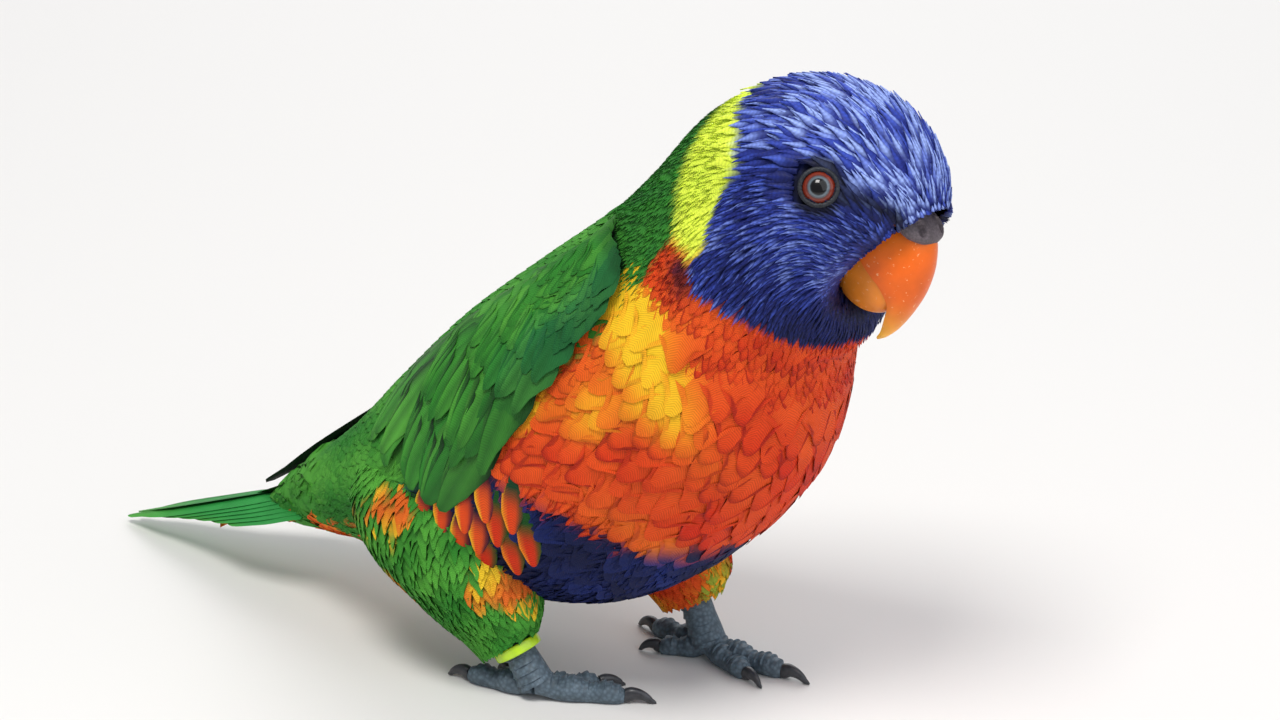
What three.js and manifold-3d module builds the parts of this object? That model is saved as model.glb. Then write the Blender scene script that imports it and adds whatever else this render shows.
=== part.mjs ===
// A rainbow lorikeet standing on both feet, life size, as a still museum model.
// Millimetres. +X is the way the bird faces, +Y its left, +Z up, and the feet stand on z = 0.
import * as THREE from 'three';
import { LoftGeometry } from 'three/addons/geometries/LoftGeometry.js';
import { mergeVertices } from 'three/addons/utils/BufferGeometryUtils.js';
import Module from 'manifold-3d';

const wasm = await Module();
wasm.setup();

const gap = 0.3; // left between neighbouring pieces
const left = 1;
const right = -1;
const turn = Math.PI * 2;
const degrees = Math.PI / 180;

// The feathered body, from the root of the tail to the face, as sections across it.
// Each section has the point on the back, the point on the belly and half the width.
const sections = [
  { top: [-90, 29], bottom: [-85, 17], half: 9 },
  { top: [-81, 37], bottom: [-69, 19], half: 15.5 },
  { top: [-69.5, 47.5], bottom: [-50, 18.5], half: 22 },
  { top: [-55, 63.5], bottom: [-26, 18], half: 28 },
  { top: [-38, 81], bottom: [3, 22], half: 31.5 },
  { top: [-17.5, 98], bottom: [30, 39.5], half: 32 },
  { top: [0.5, 112.5], bottom: [49, 62], half: 30.5 },
  { top: [14, 126], bottom: [56, 88], half: 28 },
  { top: [27, 141], bottom: [60.5, 94], half: 26 },
  { top: [44, 149.5], bottom: [63.5, 98.5], half: 25.5 },
  { top: [61, 149], bottom: [63.5, 102], half: 23.5 },
  { top: [75, 139.2], bottom: [61.5, 104.5], half: 18.5 },
  { top: [81.3, 129.2], bottom: [59.5, 107.5], half: 11.5 },
];
const rumpEnd = 1.6;
const torsoEnd = 6.35;
const neckEnd = 7.75;
const faceEnd = 12;
const seam = 0.03; // the share of a section left open between two lengths of the body
const ringStep = 0.45; // sections from one ring of corners to the next
const bodySides = 24;

// The head is cocked: it rolls about a line along X, with the right eye raised.
const headRoll = 10 * degrees;
const rollAxisZ = 122;
const rollStart = 6.4;
const rollFull = 9;

const eye = { along: 10.2, around: 71 * degrees, radius: 4.7, sunk: 3.3, lidRadius: 4.1, lidThickness: 1.0 };

const wing = {
  // corners of the folded wing on the body, as places along and around it
  topFront: [6.3, 30], topBack: [2.3, 18],
  bottomFront: [6.5, 58], bottomMid: [5.1, 67], bottomBack: [3.7, 94],
  thickness: 3.2,
};

const tail = { root: [-87.85, 22.85], tip: [-147, 1.6], vanesEachSide: 5, thickness: 1.1 };

// A smooth step from 0 at a to 1 at b.
function smooth(a, b, t) {
  const x = THREE.MathUtils.clamp((t - a) / (b - a), 0, 1);
  return x * x * (3 - 2 * x);
}

// A Catmull-Rom curve through rows of numbers, read at place s, where whole numbers are the rows.
function through(rows, s) {
  const last = rows.length - 1;
  const i = Math.min(Math.max(Math.floor(s), 0), last - 1);
  const t = s - i;
  const row = (k) => rows[Math.min(Math.max(k, 0), last)];
  return rows[0].map((unused, k) => {
    const [a, b, c, d] = [row(i - 1)[k], row(i)[k], row(i + 1)[k], row(i + 2)[k]];
    return 0.5 * (2 * b + (c - a) * t + (2 * a - 5 * b + 4 * c - d) * t * t + (3 * b - 3 * c + d - a) * t ** 3);
  });
}

const sectionRows = sections.map((s) => [...s.top, ...s.bottom, s.half]);

// Turns a point of the upright head into the cocked one, by a share of the full roll.
function cocked(point, share = 1) {
  const angle = -headRoll * share;
  const z = point.z - rollAxisZ;
  return new THREE.Vector3(
    point.x,
    point.y * Math.cos(angle) - z * Math.sin(angle),
    point.y * Math.sin(angle) + z * Math.cos(angle) + rollAxisZ,
  );
}

// A point on the body: along counts sections, around is 0 on the back and grows towards the left side,
// and lift moves the point out from the surface.
function skinPoint(along, around, lift = 0) {
  const [topX, topZ, bottomX, bottomZ, half] = through(sectionRows, along);
  const up = new THREE.Vector3(topX - bottomX, 0, topZ - bottomZ);
  const height = up.length() / 2;
  up.normalize();
  const point = new THREE.Vector3((topX + bottomX) / 2, 0, (topZ + bottomZ) / 2);
  point.addScaledVector(up, (height + lift) * Math.cos(around));
  point.y = (half + lift) * Math.sin(around);
  return cocked(point, smooth(rollStart, rollFull, along));
}

// The outward normal of the body at a place on it.
function skinNormal(along, around) {
  const step = 0.02;
  const ahead = skinPoint(along + step, around).sub(skinPoint(along - step, around));
  const across = skinPoint(along, around + step).sub(skinPoint(along, around - step));
  return across.cross(ahead).normalize().negate();
}

// The geometry with one vertex at each corner, which closes its seams.
function welded(geometry) {
  const bare = new THREE.BufferGeometry();
  bare.setAttribute('position', geometry.getAttribute('position'));
  bare.setIndex(geometry.index);
  return mergeVertices(bare, 1e-4);
}

// The geometry with its faces turned to point outwards.
function facingOut(geometry) {
  const merged = welded(geometry);
  const p = merged.getAttribute('position');
  const index = Array.from(merged.index.array);
  let volume = 0;
  const [a, b, c] = [new THREE.Vector3(), new THREE.Vector3(), new THREE.Vector3()];
  for (let i = 0; i < index.length; i += 3) {
    a.fromBufferAttribute(p, index[i]);
    b.fromBufferAttribute(p, index[i + 1]);
    c.fromBufferAttribute(p, index[i + 2]);
    volume += a.dot(b.cross(c));
  }
  if (volume < 0)
    for (let i = 0; i < index.length; i += 3)
      [index[i + 1], index[i + 2]] = [index[i + 2], index[i + 1]];
  merged.setIndex(index);
  return merged;
}

function solidOf(geometry) {
  const g = facingOut(geometry);
  return new wasm.Manifold(new wasm.Mesh({
    numProp: 3,
    vertProperties: new Float32Array(g.getAttribute('position').array),
    triVerts: new Uint32Array(g.index.array),
  }));
}

function geometryOf(solid) {
  const mesh = solid.getMesh();
  const positions = new Float32Array(mesh.numVert * 3);
  for (let i = 0; i < mesh.numVert; i++)
    positions.set(mesh.vertProperties.subarray(i * mesh.numProp, i * mesh.numProp + 3), i * 3);
  const geometry = new THREE.BufferGeometry();
  geometry.setAttribute('position', new THREE.BufferAttribute(positions, 3));
  geometry.setIndex(new THREE.BufferAttribute(new Uint32Array(mesh.triVerts), 1));
  geometry.computeVertexNormals();
  return geometry;
}

// Fuses pieces, cuts others away, and keeps the largest closed body of what is left.
function fused(pieces, cutters = []) {
  let solid = pieces.map(solidOf).reduce((a, b) => a.add(b));
  for (const cutter of cutters) solid = solid.subtract(solidOf(cutter));
  const bodies = solid.decompose();
  bodies.sort((a, b) => b.volume() - a.volume());
  return geometryOf(bodies[0]);
}

// A closed loft through rings of points. The rings are turned, if need be, to run counterclockwise
// as seen from the loft's far end.
function lofted(rings) {
  const middle = (ring) => ring.reduce((sum, p) => sum.add(p), new THREE.Vector3()).divideScalar(ring.length);
  const [start, next] = [middle(rings[0]), middle(rings[1])];
  const normal = new THREE.Vector3();
  rings[0].forEach((p, i) => {
    const q = rings[0][(i + 1) % rings[0].length];
    normal.add(p.clone().sub(start).cross(q.clone().sub(start)));
  });
  if (normal.dot(next.sub(start)) < 0) rings.forEach((ring) => ring.reverse());
  return welded(new LoftGeometry(rings, { capStart: true, capEnd: true }));
}

// The places along the body that get a ring of corners, the same for the body and for what is cut to fit it.
const bodyCuts = [rumpEnd, torsoEnd, neckEnd].flatMap((place) => [place - seam, place]);
const ringPlaces = [...Array.from({ length: 27 }, (unused, i) => i * ringStep), ...bodyCuts, faceEnd];
ringPlaces.sort((a, b) => a - b);

// A length of the body between two places along it, or the same made larger all round by lift.
function skinLoft(from, to, lift = 0) {
  const places = ringPlaces.filter((place) => place >= from - 1e-6 && place <= to + 1e-6);
  return lofted(places.map((along) => {
    const ring = [];
    for (let j = 0; j < bodySides; j++) ring.push(skinPoint(along, (turn * j) / bodySides, lift));
    return ring;
  }));
}

// A tube along centres with an elliptical section of its own size at each: half width and half height.
// Points under the floor are lifted onto it, which gives a sole its flat.
function tube(centres, widths, heights, sides, { grow = 0, onFloor = false, first = null } = {}) {
  const curve = new THREE.CatmullRomCurve3(centres);
  const last = centres.length - 1;
  const rings = [];
  centres.forEach((centre, i) => {
    const ahead = i === 0 && first ? first : curve.getTangent(i / last);
    const side = new THREE.Vector3(0, 0, 1).cross(ahead);
    if (side.length() < 0.05) side.set(0, 1, 0);
    side.normalize();
    const up = ahead.clone().cross(side).normalize();
    const ring = [];
    for (let j = 0; j < sides; j++) {
      const angle = (turn * (j + 0.5)) / sides;
      const point = centre.clone();
      point.addScaledVector(side, (widths[i] + grow) * Math.cos(angle));
      point.addScaledVector(up, (heights[i] + grow) * Math.sin(angle));
      if (onFloor) point.z = Math.max(point.z, 0);
      ring.push(point);
    }
    rings.push(ring);
  });
  return lofted(rings);
}

// One feather: a long thin blade with a raised shaft and a rounded tip. centre(t) and across(t) give the
// line of its shaft and its crosswise direction, up(t) the way its upper face looks. Both faces are split alike.
function vane(centre, across, up, { width, thickness, steps = 5, point = 0.55, fold = 0.12 }) {
  const positions = [];
  const index = [];
  const columns = [-1, 0, 1];
  for (let i = 0; i <= steps; i++) {
    const t = i / steps;
    const root = 0.55 + 0.45 * smooth(0, 0.35, t);
    const tip = Math.sqrt(Math.max(1 - Math.max((t - point) / (1 - point), 0) ** 2, 0));
    const half = (width / 2) * root * Math.max(tip, 0.22);
    const c = centre(t);
    const a = across(t);
    const n = up(t);
    const thick = thickness * (1 - 0.35 * t);
    for (const face of [0.5, -0.5])
      for (const k of columns) {
        const p = c.clone().addScaledVector(a, k * half);
        p.addScaledVector(n, face * thick * (k ? 0.7 : 1) - Math.abs(k) * fold * half);
        positions.push(p.x, p.y, p.z);
      }
  }
  const row = 6;
  const quad = (a, b, c, d) => index.push(a, b, c, a, c, d);
  for (let i = 0; i < steps; i++) {
    const o = i * row;
    const q = o + row;
    for (const k of [0, 1]) {
      quad(o + k, o + k + 1, q + k + 1, q + k);
      index.push(o + 3 + k, q + 4 + k, o + 4 + k, o + 3 + k, q + 3 + k, q + 4 + k);
    }
    quad(o + 3, o, q, q + 3);
    quad(o + 2, o + 5, q + 5, q + 2);
  }
  const end = steps * row;
  quad(0, 3, 4, 1);
  quad(1, 4, 5, 2);
  quad(end, end + 1, end + 4, end + 3);
  quad(end + 1, end + 2, end + 5, end + 4);
  const geometry = new THREE.BufferGeometry();
  geometry.setAttribute('position', new THREE.Float32BufferAttribute(positions, 3));
  geometry.setIndex(index);
  return geometry;
}

// A place on the folded wing: a runs from the shoulder to the hind edge, b from the top edge to the lower edge.
function wingPlace(a, b) {
  const lower = through([wing.bottomFront, wing.bottomMid, wing.bottomBack], a * 2);
  const upper = wing.topFront.map((v, k) => THREE.MathUtils.lerp(v, wing.topBack[k], a));
  return upper.map((v, k) => THREE.MathUtils.lerp(v, lower[k], b));
}

function wingPoint(side, a, b, lift) {
  const [along, around] = wingPlace(a, b);
  return skinPoint(along, side * around * degrees, lift);
}

function wingFrame(side, a, b, lift) {
  const step = 0.03;
  const backward = wingPoint(side, a + step, b, lift).sub(wingPoint(side, a - step, b, lift)).normalize();
  const downward = wingPoint(side, a, b + step, lift).sub(wingPoint(side, a, b - step, lift)).normalize();
  const outward = downward.clone().cross(backward).multiplyScalar(-side).normalize();
  return { backward, downward, outward };
}

// The smooth front of the wing, a shell that lies close over the body.
function wingCore(side) {
  const rings = [];
  const lengthSteps = 9;
  const acrossSteps = 7;
  for (let i = 0; i <= lengthSteps; i++) {
    const a = -0.02 + (0.9 * i) / lengthSteps;
    const ring = [];
    for (let j = 0; j <= acrossSteps; j++) {
      const b = j / acrossSteps;
      const belly = Math.sin(Math.PI * THREE.MathUtils.clamp(b, 0.06, 0.94)) ** 0.6;
      const ends = smooth(-0.1, 0.3, a) * (1 - 0.75 * smooth(0.35, 0.9, a));
      ring.push(wingPoint(side, a, b, 0.9 + wing.thickness * belly * ends));
    }
    for (let j = acrossSteps; j >= 0; j--) ring.push(wingPoint(side, a, j / acrossSteps, -1.5));
    rings.push(ring);
  }
  return lofted(rings);
}

// A tier of feathers across the wing, each tilted so that its lower edge lies over its neighbour.
function wingTier(side, { count, root, tip, from, to, width, lift, rise, tilt = 6, thickness = 0.8, sweep = 0 }) {
  const vanes = [];
  for (let k = 0; k < count; k++) {
    const share = count > 1 ? k / (count - 1) : 0;
    const b = from + (to - from) * share;
    const reach = tip + sweep * Math.sin(Math.PI * share) + 0.012 * Math.sin(k * 2.4);
    const place = (t) => [root + (reach - root) * t, b];
    const height = (t) => (lift + (rise - lift) * t) * (0.6 + 0.4 * smooth(0, 0.35, b));
    const frame = (t) => wingFrame(side, ...place(t), height(t));
    const leanBy = -tilt * degrees * side;
    const lean = (v, t) => v.applyAxisAngle(frame(t).backward, leanBy);
    vanes.push(vane(
      (t) => wingPoint(side, ...place(t), height(t)),
      (t) => lean(frame(t).downward, t),
      (t) => lean(frame(t).outward, t),
      { width, thickness, steps: 4, fold: 0.08 },
    ));
  }
  return vanes;
}

// The long flight feathers of the whole left wing, which reach back over the root of the tail.
function longPrimaries(side, { count, tip, spread, width, rootAt }) {
  const vanes = [];
  for (let k = 0; k < count; k++) {
    const start = wingPoint(side, rootAt, 0.16 + 0.09 * k, 0.9);
    const end = tip.clone().addScaledVector(spread, k);
    const over = wingPoint(side, 1.14, 0.2 + 0.09 * k, 1.3);
    const curve = new THREE.QuadraticBezierCurve3(start, over, end);
    const outward = new THREE.Vector3(-0.35, side * 0.6, 0.75).normalize();
    const across = (t) => curve.getTangent(t).cross(outward).normalize();
    const up = (t) => across(t).cross(curve.getTangent(t)).normalize();
    vanes.push(vane((t) => curve.getPoint(t), across, up, { width, thickness: 0.9, steps: 5, point: 0.5 }));
  }
  return vanes;
}

function wingGeometry(side, cutters) {
  const tiers = [
    { count: 7, root: 0.55, tip: 1.0, from: 0.06, to: 1.0, width: 9.5, lift: 1.7, rise: 2.2, sweep: 0.04 },
    { count: 6, root: 0.38, tip: 0.76, from: 0.08, to: 0.98, width: 9.5, lift: 2.1, rise: 3.2, sweep: 0.02 },
    { count: 5, root: 0.22, tip: 0.54, from: 0.08, to: 0.95, width: 9.5, lift: 2.5, rise: 3.9, sweep: 0.02 },
    { count: 4, root: 0.08, tip: 0.34, from: 0.1, to: 0.9, width: 9.5, lift: 2.6, rise: 4.2 },
  ];
  const pieces = [wingCore(side), ...tiers.flatMap((tier) => wingTier(side, tier))];
  if (side === left)
    pieces.push(...longPrimaries(side, {
      count: 3, tip: new THREE.Vector3(-111, 8.5, 16.5), spread: new THREE.Vector3(6, 1.5, 1.5), width: 7, rootAt: 0.74,
    }));
  return fused(pieces, [skinLoft(0, 9, gap), ...cutters]);
}

// The tail: a short root that carries graduated feathers, the central pair longest and on top.
function tailGeometry() {
  const root = new THREE.Vector3(tail.root[0], 0, tail.root[1]);
  const tip = new THREE.Vector3(tail.tip[0], 0, tail.tip[1]);
  const line = tip.clone().sub(root);
  const length = line.length();
  const along = line.clone().normalize();
  const up = new THREE.Vector3(0, 1, 0).cross(along).normalize();
  const at = (t, y, z) => root.clone().addScaledVector(along, t * length).addScaledVector(up, z).setY(y);
  const rootSteps = [[0, 8.2, 5.6], [0.12, 8.4, 4.4], [0.26, 7.6, 3.0], [0.4, 5.6, 1.5], [0.46, 3.6, 0.7]];
  const [hind] = sections;
  const hindUp = new THREE.Vector3(hind.top[0] - hind.bottom[0], 0, hind.top[1] - hind.bottom[1]).normalize();
  const rings = rootSteps.map(([t, half, high], i) => {
    const ring = [];
    for (let j = 0; j < 16; j++) {
      const angle = (turn * j) / 16;
      const y = half * Math.sin(angle);
      const z = high * Math.cos(angle);
      ring.push(i ? at(t, y, z - 0.4 * i) : root.clone().addScaledVector(hindUp, z).setY(y));
    }
    return ring;
  });
  const pieces = [lofted(rings)];
  for (let k = tail.vanesEachSide - 1; k >= 0; k--)
    for (const side of [left, right]) {
      const reach = 1 - 0.15 * k - 0.02 * k * (side === left ? 1 : 0) - (k === 0 && side === left ? 0.03 : 0);
      const start = 0.07;
      const outer = 1.7 + 2.0 * k;
      const low = -0.9 * k + (side === left ? 0.35 : 0);
      const centre = (t) => at(start + (reach - start) * t, side * (outer * (1 - 0.62 * t) + 0.3), low * (1 - 0.45 * t) + 1.3 * (1 - t));
      const tilt = -side * 8 * degrees;
      const across = () => new THREE.Vector3(0, 1, 0).applyAxisAngle(along, tilt);
      const lift = () => up.clone().applyAxisAngle(along, tilt);
      pieces.push(vane(centre, across, lift, { width: 8.6 - 0.3 * k, thickness: tail.thickness, steps: 5, point: 0.35, fold: 0.1 }));
    }
  return fused(pieces);
}

// The bill as sections from its base to its tip: the ridge, the cutting edge and half the width.
const upperBill = [
  { ridge: [74.3, 127], edge: [62.5, 120.5], half: 7.4 },
  { ridge: [79, 123.3], edge: [65.5, 117.4], half: 7.2 },
  { ridge: [80, 117.3], edge: [68.5, 113.8], half: 6.6 },
  { ridge: [78.8, 111.3], edge: [71.2, 110.8], half: 5.6 },
  { ridge: [76.3, 106.2], edge: [72.6, 107.2], half: 4.2 },
  { ridge: [73.6, 102.2], edge: [71.4, 103.8], half: 2.7 },
  { ridge: [71, 99.8], edge: [70.2, 101], half: 1.5 },
  { ridge: [69, 98.8], edge: [68.9, 99.4], half: 0.6 },
];
const lowerBill = [
  { ridge: [57.5, 110], edge: [64, 121], half: 6.4 },
  { ridge: [60.5, 106.5], edge: [66.5, 117], half: 6.2 },
  { ridge: [64.3, 104.6], edge: [70, 112.5], half: 5.6 },
  { ridge: [68.3, 104.4], edge: [72.5, 109], half: 4.4 },
  { ridge: [71.3, 105.4], edge: [73.4, 107.6], half: 2.6 },
];

// One half of the bill: each section is an arch from edge to edge over the ridge, closed across.
function billLoft(rows, grow = 0, hollow = 0.25) {
  const table = rows.map((r) => [...r.ridge, ...r.edge, r.half]);
  const steps = (rows.length - 1) * 2 - 2;
  const rings = [];
  for (let i = 0; i <= steps; i++) {
    const [rx, rz, ex, ez, half] = through(table, ((rows.length - 1) * i) / steps);
    const ridge = new THREE.Vector3(rx, 0, rz);
    const edge = new THREE.Vector3(ex, 0, ez);
    const out = ridge.clone().sub(edge);
    const depth = out.length();
    out.normalize();
    const ring = [];
    const arch = 10;
    for (let j = 0; j <= arch; j++) {
      const angle = Math.PI * (j / arch - 0.5);
      const p = edge.clone().addScaledVector(out, (depth + grow) * Math.cos(angle) ** 0.8 - grow * 0.5);
      p.y = (half + grow) * Math.sin(angle);
      ring.push(cocked(p));
    }
    const inner = edge.clone().addScaledVector(out, depth * hollow - grow);
    ring.push(cocked(inner.clone().setY(half * 0.55)), cocked(inner.clone().setY(-half * 0.55)));
    rings.push(ring);
  }
  return lofted(rings);
}

// The cere, the bare swelling over the base of the bill.
function cereLoft(grow = 0) {
  const ball = welded(new THREE.SphereGeometry(1, 14, 8));
  ball.scale(5.8 + grow, 6.9 + grow, 2.7 + grow);
  ball.rotateY(38 * degrees);
  ball.translate(75, 0, 125);
  const p = ball.getAttribute('position');
  const v = new THREE.Vector3();
  for (let i = 0; i < p.count; i++) {
    v.copy(cocked(v.fromBufferAttribute(p, i)));
    p.setXYZ(i, v.x, v.y, v.z);
  }
  return ball;
}

function nostril(side) {
  const hole = welded(new THREE.SphereGeometry(1.0, 8, 6));
  hole.scale(1.3, 1, 1.6);
  const place = cocked(new THREE.Vector3(77.5, side * 3.5, 126.8));
  hole.translate(place.x, place.y, place.z);
  return hole;
}

function eyePlace(side) {
  const around = side * eye.around;
  const surface = skinPoint(eye.along, around);
  const outward = skinNormal(eye.along, around);
  if (outward.y * side < 0) outward.negate();
  return { surface, outward, centre: surface.clone().addScaledVector(outward, -eye.sunk) };
}

function eyeBall(side, grow = 0) {
  const { centre } = eyePlace(side);
  const ball = welded(new THREE.SphereGeometry(eye.radius + grow, 16, 9));
  ball.translate(centre.x, centre.y, centre.z);
  return ball;
}

function eyeLids(side) {
  const { surface, outward } = eyePlace(side);
  const ring = welded(new THREE.TorusGeometry(eye.lidRadius, eye.lidThickness, 6, 16));
  ring.applyQuaternion(new THREE.Quaternion().setFromUnitVectors(new THREE.Vector3(0, 0, 1), outward));
  ring.translate(surface.x, surface.y, surface.z);
  return ring;
}

// Legs: the feathered thigh as level sections, and the foot with its short shank.
const legs = {
  left: {
    side: left,
    joint: [9.5, 20.5],
    ankle: [4.5, 20.5, 15.5],
    toes: { outer: 2, inner: -20, hindOuter: 170, hindInner: 205 },
    thigh: [
      [10.5, 5.5, 20.6, 5.6, 5.4], [14.5, 4, 20.6, 8, 6.8], [20, 0, 20.6, 13.5, 9.5],
      [28, -7, 20, 20, 13], [37, -13, 18, 24, 15], [46, -15, 16, 24, 15],
    ],
  },
  right: {
    side: right,
    joint: [-9.5, -19],
    ankle: [-16.5, -20, 14.5],
    toes: { outer: 28, inner: 52, hindOuter: 187, hindInner: 160 },
    thigh: [
      [9.5, -16.5, -20, 5.6, 5.4], [13.5, -18, -20.2, 8.5, 7], [19, -23.5, -20.6, 15, 10],
      [26, -30, -20, 21, 13], [35, -34, -18, 25, 15], [44, -34, -16, 25, 15],
    ],
  },
};
const toeSizes = {
  outer: { length: 20, girth: 2.7, claw: 8.5 },
  inner: { length: 14.5, girth: 2.5, claw: 7.5 },
  hindOuter: { length: 17.5, girth: 2.6, claw: 7 },
  hindInner: { length: 11.5, girth: 2.4, claw: 6 },
};
const soleSink = 0.35; // how far the toes are pressed flat

function heading(angle) {
  return new THREE.Vector3(Math.cos(angle * degrees), Math.sin(angle * degrees), 0);
}

// The line of one toe along the floor, arched a little between its pads.
function toeCurve(leg, name) {
  const size = toeSizes[name];
  const ahead = heading(leg.toes[name]);
  const centres = [];
  const girths = [];
  const steps = 6;
  for (let i = 0; i <= steps; i++) {
    const t = i / steps;
    const girth = size.girth * (1.18 - 0.38 * t) * (1 + 0.09 * Math.cos(t * turn * 2.5));
    const point = new THREE.Vector3(leg.joint[0], leg.joint[1], 0).addScaledVector(ahead, size.length * t);
    point.z = girth - soleSink + 1.3 * (1 - smooth(0, 0.3, t));
    centres.push(point);
    girths.push(girth);
  }
  return { centres, girths, ahead, size };
}

function toeTube(leg, name) {
  const { centres, girths, ahead } = toeCurve(leg, name);
  return tube(centres, girths.map((g) => g * 1.05), girths, 9, { onFloor: true, first: ahead });
}

function clawTube(leg, name) {
  const { centres, girths, ahead, size } = toeCurve(leg, name);
  const last = centres.length - 1;
  const start = centres[last].clone().addScaledVector(ahead, gap);
  const base = girths[last] * 0.72;
  const points = [];
  const radii = [];
  const steps = 4;
  for (let i = 0; i <= steps; i++) {
    const t = i / steps;
    const bend = t * 62 * degrees;
    const reach = (size.claw * Math.sin(bend)) / (62 * degrees);
    const drop = (size.claw * (1 - Math.cos(bend))) / (62 * degrees);
    const radius = base * (1 - t) ** 0.75 + 0.22;
    const point = start.clone().addScaledVector(ahead, reach);
    point.z = Math.max(start.z + 0.5 - drop * 0.62 + 1.1 * Math.sin(t * Math.PI), radius + 0.02);
    points.push(point);
    radii.push(radius);
  }
  points[0].z = start.z;
  return tube(points, radii.map((r) => r * 0.8), radii, 7, { onFloor: true, first: ahead });
}

function shank(leg, grow = 0) {
  const [ax, ay, az] = leg.ankle;
  const [jx, jy] = leg.joint;
  const top = new THREE.Vector3(ax, ay, az);
  const foot = new THREE.Vector3(jx, jy, 3.4);
  const centres = [0, 0.25, 0.5, 0.75, 1].map((t) => top.clone().lerp(foot, t));
  return tube(centres, [3.6, 3.7, 3.8, 4.2, 4.4], [3.6, 3.7, 3.7, 3.8, 3.4], 14, { grow, onFloor: grow === 0 });
}

function footGeometry(leg) {
  return fused([shank(leg), ...Object.keys(toeSizes).map((name) => toeTube(leg, name))]);
}

function thighLoft(leg, grow = 0) {
  const rings = [];
  const steps = 9;
  for (let i = 0; i <= steps; i++) {
    const [z, cx, cy, rx, ry] = through(leg.thigh, ((leg.thigh.length - 1) * i) / steps);
    const ring = [];
    for (let j = 0; j < 24; j++) {
      const angle = (turn * j) / 24;
      ring.push(new THREE.Vector3(cx + (rx + grow) * Math.cos(angle), cy + (ry + grow) * Math.sin(angle), z));
    }
    rings.push(ring);
  }
  rings[rings.length - 1].forEach((point) => { point.z += grow; });
  return lofted(rings);
}

function thighGeometry(leg, cutters) {
  return fused([thighLoft(leg)], [skinLoft(0, torsoEnd, gap), shank(leg, gap), ...cutters]);
}

// The flat plastic ring on the right shank.
const band = { inner: 4.4, thickness: 1.1, height: 2.4, at: 0.3 };
function bandRing(grow = 0) {
  const leg = legs.right;
  const top = new THREE.Vector3(...leg.ankle);
  const foot = new THREE.Vector3(leg.joint[0], leg.joint[1], 3.4);
  const inner = band.inner - grow;
  const outer = band.inner + band.thickness + grow;
  const half = band.height / 2 + grow;
  const profile = [
    [inner, -half], [outer, -half], [outer, half], [inner, half], [inner, -half],
  ].map(([r, h]) => new THREE.Vector2(r, h));
  const ring = welded(new THREE.LatheGeometry(profile, 22));
  const axis = foot.clone().sub(top).normalize();
  ring.applyQuaternion(new THREE.Quaternion().setFromUnitVectors(new THREE.Vector3(0, 1, 0), axis));
  const centre = top.lerp(foot, band.at);
  ring.translate(centre.x, centre.y, centre.z);
  return ring;
}

const finishes = {
  blueFeathers: { color: 0x3a4fb5, roughness: 0.6 },
  yellowGreenFeathers: { color: 0x9fc83a, roughness: 0.65 },
  orangeFeathers: { color: 0xdf5a1c, roughness: 0.65 },
  greenFeathers: { color: 0x2f8a2c, roughness: 0.6 },
  billHorn: { color: 0xe8661a, roughness: 0.32 },
  cereSkin: { color: 0x4a4248, roughness: 0.6 },
  eyeGlass: { color: 0x8a2a1c, roughness: 0.08 },
  footScales: { color: 0x46565f, roughness: 0.6 },
  clawHorn: { color: 0x24262c, roughness: 0.35 },
  limePlastic: { color: 0xb6e61e, roughness: 0.35 },
};
const materials = Object.fromEntries(
  Object.entries(finishes).map(([name, look]) => [name, new THREE.MeshStandardMaterial({ ...look, metalness: 0 })]),
);

const bird = new THREE.Group();
function add(name, geometry, finish) {
  const mesh = new THREE.Mesh(geometry, materials[finish]);
  mesh.name = name;
  bird.add(mesh);
}

add('rump', skinLoft(0, rumpEnd - seam), 'greenFeathers');
add('torso', skinLoft(rumpEnd, torsoEnd - seam), 'orangeFeathers');
add('neck', skinLoft(torsoEnd, neckEnd - seam), 'yellowGreenFeathers');
add('head', fused(
  [skinLoft(neckEnd, faceEnd), eyeLids(left), eyeLids(right)],
  [eyeBall(left, gap), eyeBall(right, gap), billLoft(upperBill, gap, -0.1), billLoft(lowerBill, gap, -0.1), cereLoft(gap)],
), 'blueFeathers');
add('cere', fused([cereLoft()], [billLoft(upperBill, gap, -0.1), nostril(left), nostril(right)]), 'cereSkin');
add('bill_upper', fused([billLoft(upperBill)]), 'billHorn');
add('bill_lower', fused([billLoft(lowerBill)], [billLoft(upperBill, gap, -0.05)]), 'billHorn');
for (const [word, side] of [['left', left], ['right', right]]) {
  const leg = legs[word];
  add(`eye_${word}`, eyeBall(side), 'eyeGlass');
  add(`wing_${word}`, wingGeometry(side, [thighLoft(leg, gap)]), 'greenFeathers');
  add(`thigh_${word}`, thighGeometry(leg, side === right ? [bandRing(gap)] : []), 'orangeFeathers');
  add(`foot_${word}`, footGeometry(leg), 'footScales');
  for (const toe of Object.keys(toeSizes)) add(`claw_${word}_${toe}`, clawTube(leg, toe), 'clawHorn');
}
add('tail', tailGeometry(), 'greenFeathers');
add('leg_band', bandRing(), 'limePlastic');

// The origin is on the floor, under the middle of the whole bird.
const bounds = new THREE.Box3().setFromObject(bird);
bird.position.set(-(bounds.min.x + bounds.max.x) / 2, -(bounds.min.y + bounds.max.y) / 2, -bounds.min.z);

export default bird;
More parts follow.
